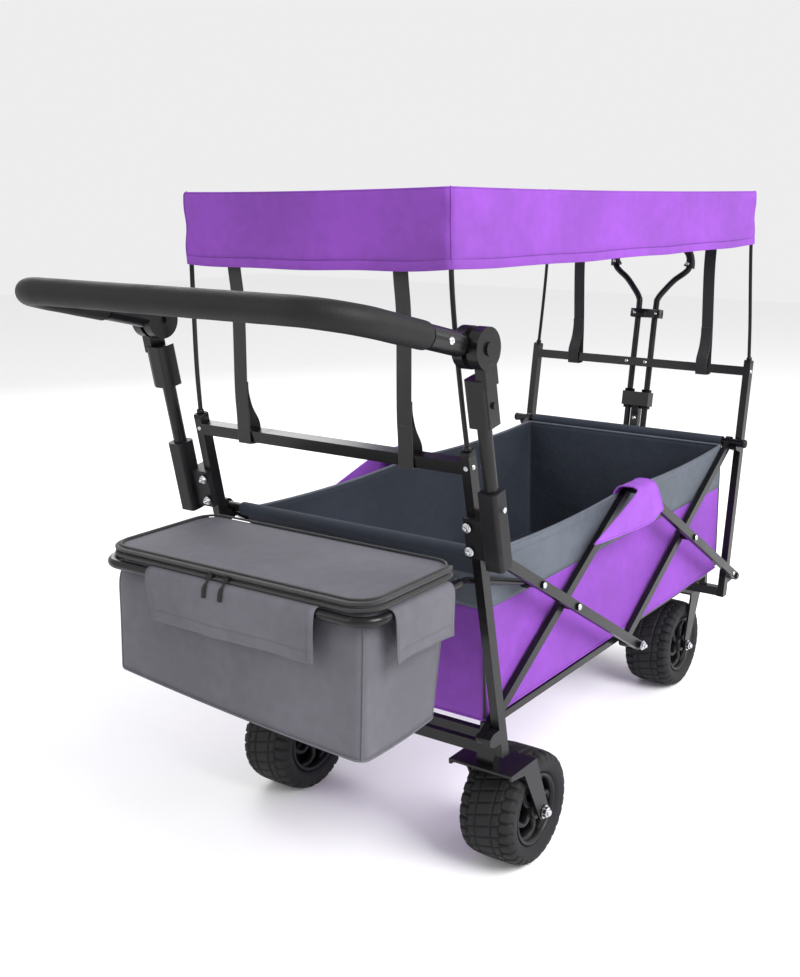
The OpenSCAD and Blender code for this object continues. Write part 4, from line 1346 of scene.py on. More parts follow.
@dataclass
class Bag:
    """Zipped storage bag hung in the rear frame."""

    paint: Palette
    x_rear: float = -716.5
    x_front: float = -522.5
    half_y: float = 232.0
    top: float = 512.0
    low: float = 322.0
    tube_z: float = 505.4
    cloth: float = 1.2
    lid_corner: float = 36.0
    lift_right: float = -8.0
    lift_left: float = 24.0
    lean_rear: float = 10.0
    lean_front: float = 24.0
    body: str = "basket"

    @property
    def mid_x(self) -> float:
        """Middle of the bag along the wagon."""
        return 0.5 * (self.x_rear + self.x_front)

    @property
    def half_x(self) -> float:
        """Half of its length along the wagon."""
        return 0.5 * (self.x_front - self.x_rear)

    def _plan(self, corner: float = 20.0, grow: float = 0.0) -> Tray:
        """Plan of the bag body."""
        return Tray(self.half_x + grow, self.half_y + grow, corner, 22, 48, 4, self.mid_x)

    def _tilt(self, pts: np.ndarray) -> np.ndarray:
        """Height of the sagging underside above its mean: the corners' values blended linearly."""
        u = np.clip(0.5 + 0.5 * (pts[..., 0] - self.mid_x) / self.half_x, 0, 1)
        v = np.clip(0.5 + 0.5 * pts[..., 1] / self.half_y, 0, 1)
        rear = self.lift_right * (1 - v) + self.lift_left * v
        return rear * (1 - 0.6 * u)

    def _body_points(self) -> tuple[np.ndarray, np.ndarray, Tray]:
        """Walls and floor of the sagging body.

        With h from 0 at the floor to 1 at the top: sides draw in by 7 sin(pi h)
        between corners, the plan narrows by 5 towards the floor, the floor hangs
        by 9 (1 - u^2)(1 - v^2), and short creases start under the tube.
        """
        plan = self._plan()
        rise = np.linspace(self.low + 3, self.top, 26)
        levels = [(self.low, 3.0), (self.low + 0.9, 0.9)] + [(float(z), 0.0) for z in rise]
        pts = plan.wall(levels)
        out = plan.outward()[:, None, :]
        s = plan.along()[:, None]
        h = np.clip((pts[..., 2] - self.low) / (self.top - self.low), 0, 1)
        room = 1 - s**4
        pull = -6.0 * np.sin(pi * h) * (1 - s**2)
        draw = -5.0 * (1 - h)
        crease = 2.2 * np.exp(-(((1 - h) / 0.22) ** 2)) * np.sin(0.17 * pts[..., 0] + 0.11 * pts[..., 1]) * room
        fold = 2.4 * wobble(pts, 260.0, 2.2) * np.sin(pi * h) * room
        under = -8.0 * np.exp(-(((h - 0.97) / 0.12) ** 2))
        pts = pts + out * (pull + draw + crease + fold + under)[..., None]
        floor = plan.flat(self.low, 3.0)
        u, v = (floor[..., 0] - self.mid_x) / self.half_x, floor[..., 1] / self.half_y
        hang = -8.0 * (1 - u**2) * (1 - v**2) + 1.5 * wobble(floor, 170.0, 0.6) * (1 - u**4) * (1 - v**4)
        floor[..., 2] += hang
        floor[..., 0] -= 5.0 * np.sign(u) * np.abs(u) ** 3
        floor[..., 1] -= 5.0 * np.sign(v) * np.abs(v) ** 3
        dip = -4.0 * (1 - h) ** 3 * (1 - s**2)
        pts[..., 2] += dip + self._tilt(pts) * (1 - h)
        floor[..., 2] += self._tilt(floor)
        for cloth, share in ((pts, 1 - h), (floor, 1.0)):
            ahead = np.clip(0.5 + 0.5 * (cloth[..., 0] - self.mid_x) / self.half_x, 0, 1)
            cloth[..., 0] -= share * (self.lean_rear + self.lean_front * ahead)
        return pts, floor, plan

    def _flap(self, path_yz: np.ndarray, along: tuple[float, float], rear: bool, sign: float = 1.0) -> tuple[Shell, Shell]:
        """A folded-over flap: a side view carried along one side, with its stitch rows."""
        n = 30
        t = np.linspace(along[0], along[1], n)
        tt, kk = np.meshgrid(np.arange(n), np.arange(len(path_yz)), indexing="ij")
        off, z = path_yz[kk, 0], path_yz[kk, 1]
        w = np.clip((self.tube_z - z) / 62.0, 0, 1)
        span = (t[tt] - t.mean()) / (0.5 * (t[-1] - t[0]))
        ripple = 1.6 * w * np.sin(0.034 * t[tt] + 1.1) + 0.8 * w * np.sin(0.09 * t[tt])
        flare = 1.8 * w * np.abs(span) ** 3
        off = off + ripple + flare
        skew = t[tt] - 5.0 * w * span * 0.6
        if rear:
            pts = np.stack([self.x_rear - off, skew, z], -1)
            out = np.array([-1.0, 0.0, 0.0])
        else:
            pts = np.stack([skew, sign * (self.half_y + off), z], -1)
            out = np.array([0.0, sign, 0.0])
        shell = grid(pts)
        if rear or sign > 0:
            shell = shell.flipped()
        rows = [
            stitches(pts[1:-1, -5] + out * 0.9, out, 4.0, 2.8, 0.3),
            stitches(pts[1, -18:-1] + out * 0.9, out, 4.0, 2.8, 0.3),
            stitches(pts[-2, -18:-1] + out * 0.9, out, 4.0, 2.8, 0.3),
        ]
        return shell, merge(rows)

    def build(self) -> list[bpy.types.Object]:
        """Makes the body, piping, flaps, stitches, lid, zip and pulls."""
        pts, floor, plan = self._body_points()
        loop = np.concatenate([floor[:-1, 0], floor[-1, :-1], floor[:0:-1, -1], floor[0, :0:-1]])
        pts[:, 0] = loop
        body = place("bag_body", merge([grid(floor).flipped(), grid(pts, wrap_u=True)]), self.paint.bag, merge_at=2e-5)
        finish_cloth(body, self.cloth)
        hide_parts("storage_bag")
        out = plan.outward()
        seams = []
        for sx in (-1, 1):
            for sy in (-1, 1):
                target = np.array([self.mid_x + sx * self.half_x, sy * self.half_y])
                i = int(np.argmin(np.linalg.norm(plan.loop(0.0)[:, :2] - target, axis=1)))
                seams.append(piping(pts[i, 1:-2] + out[i] * 0.6, 1.5, False, ref=(1, 0.3, 0)))
        seams.append(piping(pts[:, 1] + out * 0.8, 1.8, True))
        piped = place("bag_piping", merge(seams), self.paint.bag)

        wrap = [(8.5, 514.4), (13.5, 512.6), (16.8, 508.0), (17.9, 502.0), (18.4, 492.0), (17.8, 478.0), (16.6, 462.0), (15.4, 438.0)]
        rear_view = smooth_path([(2.0, 513.8)] + wrap, 6)
        rear, rear_rows = self._flap(rear_view, (-self.half_y + 69.0, self.half_y - 88.0), True)
        side_view = smooth_path([(2.0, 513.6), (10.0, 514.4), (17.0, 513.0), (21.5, 506.0), (22.0, 496.0), (21.0, 480.0), (19.6, 464.0), (18.6, 440.0)], 6)
        flaps = [rear]
        rows = [rear_rows]
        for sign in (-1.0, 1.0):
            flap, row = self._flap(side_view, (self.x_rear + 34.0, self.x_front - 30.0), False, sign)
            flaps.append(flap)
            rows.append(row)
        over = []
        for name, shell in zip(("bag_flap_rear", "bag_flap_right", "bag_flap_left"), flaps):
            flap_obj = place(name, shell, self.paint.bag)
            finish_cloth(flap_obj, 1.3, offset=0.0)
            over.append(flap_obj)
        rows.append(stitches(pts[:, 1] + out * 2.0 + np.array([0, 0, 5.0]), out, 4.0, 2.8, 0.3, closed=True))
        thread = place("bag_stitches", merge(rows), self.paint.thread)
        for piece in [body, piped, thread] + over:
            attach(piece, self.body)
        return [body, piped, thread] + over + self._lid()

    def _lid(self) -> list[bpy.types.Object]:
        """Crowned lid with rounded rear corners, its zip and two pulls."""
        z0 = self.top + 3.0
        plan = Tray(self.half_x + 4.0, self.half_y + 5.0, self.lid_corner, 22, 48, 9, self.mid_x + 2.0)
        flat = plan.flat(z0 + 13.0, 5.0)
        u, v = (flat[..., 0] - self.mid_x) / self.half_x, flat[..., 1] / self.half_y
        crown = 5.5 * (1 - np.abs(u) ** 2.4) * (1 - np.abs(v) ** 2.6) + 0.9 * wobble(flat, 150.0, 5.0) * (1 - u**2) * (1 - v**2)
        flat[..., 2] += crown
        under = plan.flat(z0 + 0.2, 5.0)
        loop_top = np.concatenate([flat[:-1, 0], flat[-1, :-1], flat[:0:-1, -1], flat[0, :0:-1]])
        out = plan.outward()
        rings = [plan.loop(z0 + 0.2, 5.0), plan.loop(z0 + 0.8, 1.6), plan.loop(z0 + 6.0, 0.6), plan.loop(z0 + 10.6, 1.2)]
        side = np.stack(rings + [loop_top], axis=1)
        lid = place("bag_lid_cloth", merge([grid(flat), grid(under).flipped(), grid(side, wrap_u=True)]), self.paint.bag, merge_at=2e-5)
        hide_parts("bag_lid")
        path = plan.loop(0.0, -1.6)
        front_open = path[:, 0] < self.x_front - 6.0
        order = np.flatnonzero(front_open)
        start = int(np.flatnonzero(np.diff(order) > 1)[0] + 1) if np.any(np.diff(order) > 1) else 0
        order = np.roll(order, -start)
        open_path = path[order]
        tape = []
        for dz, wide in ((3.0, 8.4), (12.0, 7.4)):
            line = open_path + np.array([0, 0, z0 + dz])
            tape.append(sweep(line, slab(wide, 4.4, 0.5, 12), (0, 0, 1)))
        teeth_line = open_path + out[order] * 0.9 + np.array([0, 0, z0 + 7.7])
        tape.append(stitches(teeth_line, out[order], 2.2, 1.5, 1.3))
        tape.append(piping(plan.loop(z0 + 15.4, 3.2), 1.9, True))
        zip_obj = place("bag_zip", merge(tape), self.paint.zip_tape)
        pulls = []
        for y in (-5.0, 25.0):
            pulls.append(sweep(np.array([(self.x_rear - 3.0, y, z0 + 7.7), (self.x_rear - 11.0, y, z0 + 7.7)]), slab(9.0, 7.0, 0.5, 12), (0, 0, 1)))
            hang = smooth_path([(self.x_rear - 11.0, y, z0 + 5.0), (self.x_rear - 16.5, y + 1.5, z0 - 2.0), (self.x_rear - 20.0, y + 2.5, z0 - 9.0), (self.x_rear - 21.5, y + 3.5, z0 - 21.0)], 6)
            size = np.interp(np.linspace(0, 1, len(hang)), [0, 0.35, 0.4, 1], [0.55, 0.55, 1.0, 1.15])
            pulls.append(sweep(hang, slab(2.2, 6.4, 0.5, 12), (0, 1, 0), scale=size))
        pull = place("bag_zip_pulls", merge(pulls), self.paint.plastic)
        for piece, name in ((lid, "bag"), (zip_obj, "web"), (pull, "plastic")):
            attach(piece, "bag_lid")
        return [lid, zip_obj, pull]


# --------------------------------------------------------------------------
# Wheels
# --------------------------------------------------------------------------


@dataclass
class Wheel:
    """All-terrain wheel: block-tread tyre on a spoked rim, with its hub nuts."""

    paint: Palette
    end: End
    side: Side
    radius: float = 90.0
    width: float = 96.0
    rim_r: float = 56.0
    spokes: int = 6
    rear_x: float = -352.0
    front_x: float = 408.0
    rear_y: float = 225.0
    front_y: float = 128.0

    @property
    def centre(self) -> np.ndarray:
        """Middle of the wheel."""
        if self.end is End.REAR:
            return np.array([self.rear_x, self.side.value * self.rear_y, self.radius])
        return np.array([self.front_x, self.side.value * self.front_y, self.radius])

    def _tread(self, angle: np.ndarray, across: np.ndarray) -> np.ndarray:
        """Depth cut out of the tyre at an angle and a distance across.

        Two straight grooves run round it; slanted sipes whose slant turns over at
        the middle cut the centre ribs, and wide slots cut both shoulders.
        """
        half = self.width / 2
        w = across / half
        pitch = 2 * pi / 30
        round_cut = 3.4 * np.clip(1.6 - np.abs(np.abs(w) - 0.30) * half / 1.3, 0, 1)
        phase = (angle + 0.16 * np.abs(w) * np.sign(w + 1e-9) * 0.9) / pitch
        sipe = np.abs((phase % 1.0) - 0.5) * pitch * self.radius
        centre_cut = 3.0 * np.clip(1.7 - sipe / 0.85, 0, 1) * (np.abs(w) < 0.62)
        phase2 = (angle + 0.5 * pitch + 0.05 * np.sign(w)) / pitch
        slot = np.abs((phase2 % 1.0) - 0.5) * pitch * self.radius
        shoulder = 4.6 * np.clip(1.9 - slot / 1.7, 0, 1) * np.clip((np.abs(w) - 0.54) / 0.05, 0, 1) * np.clip((1.02 - np.abs(w)) / 0.05, 0, 1)
        zig = np.abs(w) - 0.60 - 0.03 * np.sign(np.sin(angle * 30))
        zig_cut = 3.0 * np.clip(1.6 - np.abs(zig) * half / 0.9, 0, 1)
        return np.maximum.reduce([round_cut, centre_cut, shoulder, zig_cut])

    def _tyre(self) -> Shell:
        """Tyre surface: a rounded section turned about the axle, its tread cut in.

        The section runs from the inner bead over the side, shoulder, crown and back.
        """
        r, half = self.radius, self.width / 2
        section = [(r - 34, -half + 12), (r - 31, -half + 5.5), (r - 24, -half + 1.2), (r - 13, -half + 0.2), (r - 6.5, -half + 2.5)]
        crown_w = np.linspace(-half + 5.5, half - 5.5, 62)
        crown_r = r - 3.4 * np.abs(crown_w / (half - 5.5)) ** 5.0
        low = smooth_path(section, 5)
        body = np.concatenate([low, np.stack([crown_r, crown_w], -1), low[::-1] * np.array([1, -1])])
        back = np.array([(r - 34.0, half - 12.5), (r - 34.0, 0.0), (r - 34.0, -half + 12.5)])
        prof = np.concatenate([body, back[1:-1]])
        steps = 420
        a = np.arange(steps) * 2 * pi / steps
        aa, rr = np.meshgrid(a, prof[:, 0], indexing="ij")
        ww = np.broadcast_to(prof[None, :, 1], rr.shape)
        top = np.clip((rr - (r - 14)) / 5.0, 0, 1)
        cut = self._tread(aa, ww) * top
        sidewall = 0.7 * np.clip(1 - np.abs(rr - (r - 17)) / 1.0, 0, 1) + 0.6 * np.clip(1 - np.abs(rr - (r - 26)) / 0.8, 0, 1)
        rad = rr - cut
        over = ww + np.sign(ww) * sidewall * (np.abs(ww) > half - 6)
        c = self.centre
        pts = np.stack([c[0] + rad * np.sin(aa), c[1] + over, c[2] + rad * np.cos(aa)], -1)
        return grid(pts, wrap_u=True, wrap_v=True)

    def _spoke(self, at: float, face: float) -> Shell:
        """One curved spoke: an oval bar swept from the hub to the barrel, leaning as it goes.

        At t from 0 to 1 the radius grows from 13 to the rim, the angle leads by
        0.30 sin(pi t) and the depth rises towards the face in the middle.
        """
        t = np.linspace(0, 1, 18)
        rad = 12.0 + (self.rim_r - 4.0 - 12.0) * t
        ang = at + 0.42 * t - 0.30 * np.sin(pi * t)
        out = face * (29.0 + 8.0 * np.sin(pi * (t * 0.8 + 0.1)) - 3.0 * t)
        c = self.centre
        path = np.stack([c[0] + rad * np.sin(ang), c[1] + out, c[2] + rad * np.cos(ang)], -1)
        size = 1.15 - 0.35 * np.sin(pi * t) ** 0.8
        return sweep(path, slab(10.0, 14.0, 0.6, 16), (0, 1, 0), scale=size)

    def _rim(self) -> Shell:
        """Barrel, hub and two sets of spokes."""
        c, half = self.centre, self.width / 2
        r = self.rim_r
        barrel = [
            (r - 1.5, -half + 9.0), (r + 1.2, -half + 7.2), (r + 1.2, -half + 5.2), (r - 1.8, -half + 4.4), (r - 5.2, -half + 6.5),
            (r - 6.6, -half + 12.0), (r - 7.4, -half + 24.0), (r - 7.4, half - 24.0), (r - 6.6, half - 12.0), (r - 5.2, half - 6.5),
            (r - 1.8, half - 4.4), (r + 1.2, half - 5.2), (r + 1.2, half - 7.2), (r - 1.5, half - 9.0), (r - 1.5, -half + 9.0),
        ]
        hub = [(0.0, -half + 1.2), (9.0, -half + 1.2), (14.0, -half + 2.2), (15.6, -half + 5.0), (15.8, -half + 16.0), (14.0, 0.0), (15.8, half - 16.0), (15.6, half - 5.0), (14.0, half - 2.2), (9.0, half - 1.2), (0.0, half - 1.2)]
        dish = [(self.rim_r - 7.0, -3.0), (30.0, -4.0), (14.5, -3.0), (14.5, 3.0), (30.0, 4.0), (self.rim_r - 7.0, 3.0), (self.rim_r - 7.0, -3.0)]
        parts = [lathe(p, c, (0, 1, 0), 56) for p in (barrel, hub, dish)]
        for k in range(self.spokes):
            for face in (-1.0, 1.0):
                parts.append(self._spoke(k * 2 * pi / self.spokes + 0.2, face))
        return merge(parts)

    def build(self) -> list[bpy.types.Object]:
        """Makes the tyre, rim and hub hardware."""
        tag = f"{self.end.word}_{self.side.word}"
        body = "wheel_" + tag
        tyre = place("tyre_" + tag + "_tread", self._tyre(), self.paint.rubber)
        recalc(tyre)
        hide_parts("tyre_" + tag)
        rim = place("rim_" + tag + "_spoked", self._rim(), self.paint.rim)
        recalc(rim)
        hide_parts("rim_" + tag)
        for piece, slot in ((tyre, "tyre"), (rim, "rim")):
            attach(piece, body)
        fixed = "rear_frame" if self.end is End.REAR else "caster_" + self.side.word
        c = self.centre
        reach = self.width / 2 + 8.2
        nuts = merge([hex_nut(c + np.array([0, d * (reach + 1.2), 0]), (0, d, 0), 8.4, 7.0, 5.0) for d in (-1, 1)])
        nut = place("hub_nuts_" + tag, nuts, self.paint.zinc, smooth=False)
        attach(nut, fixed)
        return [tyre, rim, nut]


def recalc(obj: bpy.types.Object) -> None:
    """Turns a closed surface's faces outwards."""
    bm = bmesh.new()
    bm.from_mesh(obj.data)
    bmesh.ops.recalc_face_normals(bm, faces=bm.faces)
    bm.to_mesh(obj.data)
    bm.free()


def hex_nut(origin: Sequence[float], axis: Sequence[float], across: float, height: float, bolt: float) -> Shell:
    """Six-sided nut with a chamfer and the bolt's rounded end standing out of it.

    Args:
        origin: foot of the nut.
        axis: direction in which it stands.
        across: half the distance across its corners.
        height: its height.
        bolt: radius of the bolt end.

    Returns:
        The nut.
    """
    nut = lathe([(0.0, 0.0), (across, 0.0), (across, height * 0.85), (across * 0.86, height), (bolt * 1.05, height)], origin, axis, 6)
    end = lathe([(bolt, height - 0.4), (bolt, height + 2.4), (bolt * 0.8, height + 3.6), (0.0, height + 3.8)], origin, axis, 16)
    washer = lathe([(0.0, 0.0), (across * 1.25, 0.0), (across * 1.25, 1.4), (0.0, 1.4)], origin, axis, 24)
    return merge([nut, end, washer])


def rivet(origin: Sequence[float], axis: Sequence[float], radius: float = 4.4, height: float = 2.6) -> Shell:
    """Domed rivet head with a rolled centre: radius r cos, height h sin, dished in the middle."""
    t = np.linspace(0, pi / 2, 6)
    dome = [(radius * 1.04, 0.0)] + [(float(radius * cos(k) ** 0.8), float(height * sin(k))) for k in t[:-2]]
    dome += [(radius * 0.42, height * 1.0), (radius * 0.34, height * 0.72), (0.0, height * 0.66)]
    return lathe([(0.0, 0.0)] + dome, origin, axis, 22)


# --------------------------------------------------------------------------
# Push bar foam and pull grip
# --------------------------------------------------------------------------


@dataclass
class PushFoam:
    """Foam sleeve all round the push bar."""

    paint: Palette
    joint_z: float = 835.0
    arm_y: float = 284.0
    reach: float = 263.0
    rise: float = radians(14.0)
    corner: float = 70.0
    radius: float = 18.0
    start: float = 101.0

    @property
    def joint_x(self) -> float:
        """Distance of the joint behind the middle."""
        along = (self.joint_z - LAY.post_foot_z + 15 * sin(LAY.lean)) / cos(LAY.lean)
        return -(LAY.post_foot_x + 15 * cos(LAY.lean) + along * sin(LAY.lean))

    def world(self, local: np.ndarray) -> np.ndarray:
        """Points of the push bar's own frame, its arms along -X, in the wagon frame."""
        x, y, z = local[..., 0], local[..., 1], local[..., 2]
        c, s = cos(self.rise), sin(self.rise)
        return np.stack([self.joint_x + x * c + z * s, y, self.joint_z - x * s + z * c], -1)

    def build(self) -> list[bpy.types.Object]:
        """Makes the foam, with lightly rounded ends and slight hand-worn unevenness."""
        c = self.corner
        a = np.linspace(0, pi / 2, 22)
        arm = np.stack([np.linspace(-self.start, -self.reach + c, 26), np.full(26, -self.arm_y)], -1)
        turn1 = np.stack([-self.reach + c - c * np.sin(a), -self.arm_y + c - c * np.cos(a)], -1)
        back = np.stack([np.full(50, -self.reach), np.linspace(-self.arm_y + c, self.arm_y - c, 50)], -1)
        turn2 = (turn1 * np.array([1, -1]))[::-1]
        arm2 = (arm * np.array([1, -1]))[::-1]
        line = np.concatenate([arm, turn1[1:], back[1:], turn2[1:], arm2[1:]])
        path = self.world(np.concatenate([line, np.zeros((len(line), 1))], axis=1))
        run = np.concatenate([[0.0], np.cumsum(np.linalg.norm(np.diff(path, axis=0), axis=1))])
        end = np.minimum(run, run[-1] - run)
        size = 1 - 0.16 * np.exp(-((end / 2.2) ** 2)) + 0.006 * np.sin(run * 0.021) + 0.004 * np.sin(run * 0.13)
        up = (sin(self.rise), 0.0, cos(self.rise))
        foam = sweep(path, circle(self.radius, 36), up, scale=size)
        obj = place("push_foam_sleeve", foam, self.paint.foam)
        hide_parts("push_foam")
        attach(obj, "push_bar")
        return [obj]


@dataclass
class PullHandle:
    """Telescoping pull handle: two rods that spread into a grip loop."""

    paint: Palette
    off: float = 20.0
    gap: float = 20.0
    rod_r: float = 6.5
    half: float = 91.0
    top: float = 730.0

    def at(self, pts: np.ndarray) -> np.ndarray:
        """Points of the handle's own frame (out, across, along) in the wagon frame."""
        c, s = cos(LAY.lean), sin(LAY.lean)
        x = self.off + pts[..., 0]
        z = pts[..., 2]
        return np.stack([LAY.post_foot_x + x * c + z * s, pts[..., 1], LAY.post_foot_z - x * s + z * c], -1)

    def _dir(self, v: Sequence[float]) -> np.ndarray:
        """A direction of the handle's own frame in the wagon frame."""
        return self.at(np.asarray(v, float)) - self.at(np.zeros(3))

    def _rods(self) -> Shell:
        """The two rods, straight and then flared outwards."""
        rods = []
        for s in (-1, 1):
            pts = np.array([(0, s * self.gap, 141), (0, s * self.gap, 300), (0, s * self.gap, 470), (0, s * self.gap, 586), (0, s * (self.gap + 3), 606), (0, s * (self.gap + 16), 624), (0, s * 56, 646), (0, s * 76, 661), (0, s * 86, 672), (0, s * 88, 688)], float)
            path = self.at(smooth_path(pts, 8))
            rods.append(sweep(path, circle(self.rod_r, 20), self._dir((1, 0, 0))))
        return merge(rods)

    def _grip(self) -> Shell:
        """Padded loop: an oval bar swept over the arch, thickest at its two ends."""
        pts = [(0, -86, 674), (0, -88.5, 686), (0, -84, 702), (0, -72, 714), (0, -52, 721), (0, -26, 725), (0, 0, 726)]
        arch = np.array(pts + [(0, -p[1], p[2]) for p in pts[-2::-1]], float)
        line = smooth_path(arch, 8)
        t = np.linspace(-1, 1, len(line))
        size = 0.86 + 0.34 * np.exp(-(((1 - np.abs(t)) / 0.13) ** 2)) + 0.1 * np.exp(-((t / 0.5) ** 2))
        path = self.at(line)
        return sweep(path, slab(19.0, 20.0, 0.85, 24), self._dir((1, 0, 0)), scale=size)

    def build(self) -> list[bpy.types.Object]:
        """Makes the rods, grip, brace, sliding foot and rivets."""
        rods = [self._rods()]
        z = np.array([0, 0, 1.0])
        up = self._dir((0, 0, 1))
        brace = self.at(np.stack([np.zeros(2), np.array([-34.0, 34.0]), np.full(2, 572.0)], -1))
        rods.append(sweep(brace, slab(20.0, 19.0, 0.3, 20), up))
        foot = self.at(np.stack([np.full(2, -0.0), np.array([-27.0, -12.5]), np.full(2, 145.0)], -1))
        rods.append(sweep(foot, slab(14.0, 22.0, 0.3, 20), up))
        foot2 = self.at(np.stack([np.full(2, 0.0), np.array([12.5, 27.0]), np.full(2, 145.0)], -1))
        rods.append(sweep(foot2, slab(14.0, 22.0, 0.3, 20), up))
        link = self.at(np.stack([np.full(2, 10.4), np.array([-13.0, 13.0]), np.full(2, 145.0)], -1))
        rods.append(sweep(link, slab(14.0, 3.4, 0.3, 16), up))
        frame_obj = place("pull_rods", merge(rods), self.paint.enamel)
        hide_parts("pull_grip")
        grip = place("pull_grip_pad", self._grip(), self.paint.foam)
        dots = []
        for s in (-1, 1):
            for d in (-1, 1):
                dots.append(rivet(self.at(np.array([d * 10.4, s * 86.5, 680.0])), self._dir((d, 0, 0)), 3.6, 2.0))
                dots.append(rivet(self.at(np.array([d * 9.6, s * 25.0, 572.0])), self._dir((d, 0, 0)), 3.2, 1.8))
        pins = place("pull_rivets", merge(dots), self.paint.zinc)
        for piece, slot in ((frame_obj, "frame"), (grip, "foam"), (pins, "zinc")):
            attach(piece, "pull_grip")
        arm_dots = merge([rivet(self.at(np.array([d * 7.2, 0.0, 345.0])), self._dir((d, 0, 0)), 4.0, 2.2) for d in (-1, 1)])
        clip = []
        for s in (-1, 1):
            tube = self.at(np.array([[0, s * self.gap, 366.0], [0, s * self.gap, 408.0]], float))
            ring = sweep(tube, circle(10.6, 24), self._dir((1, 0, 0)))
            clip.append(ring)
        block = self.at(np.array([[0, 0, 352.0], [0, 0, 400.0]], float))
        clip.append(sweep(block, slab(17.0, 18.0, 0.35, 20), self._dir((1, 0, 0))))
        guide = place("pull_slider", merge(clip), self.paint.plastic)
        arm = place("pull_arm_rivets", arm_dots, self.paint.zinc)
        for piece, slot in ((guide, "plastic"), (arm, "zinc")):
            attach(piece, "pull_arm")
        return [frame_obj, grip, pins, guide, arm]


# --------------------------------------------------------------------------
# Rivets, bolts and caps
# --------------------------------------------------------------------------


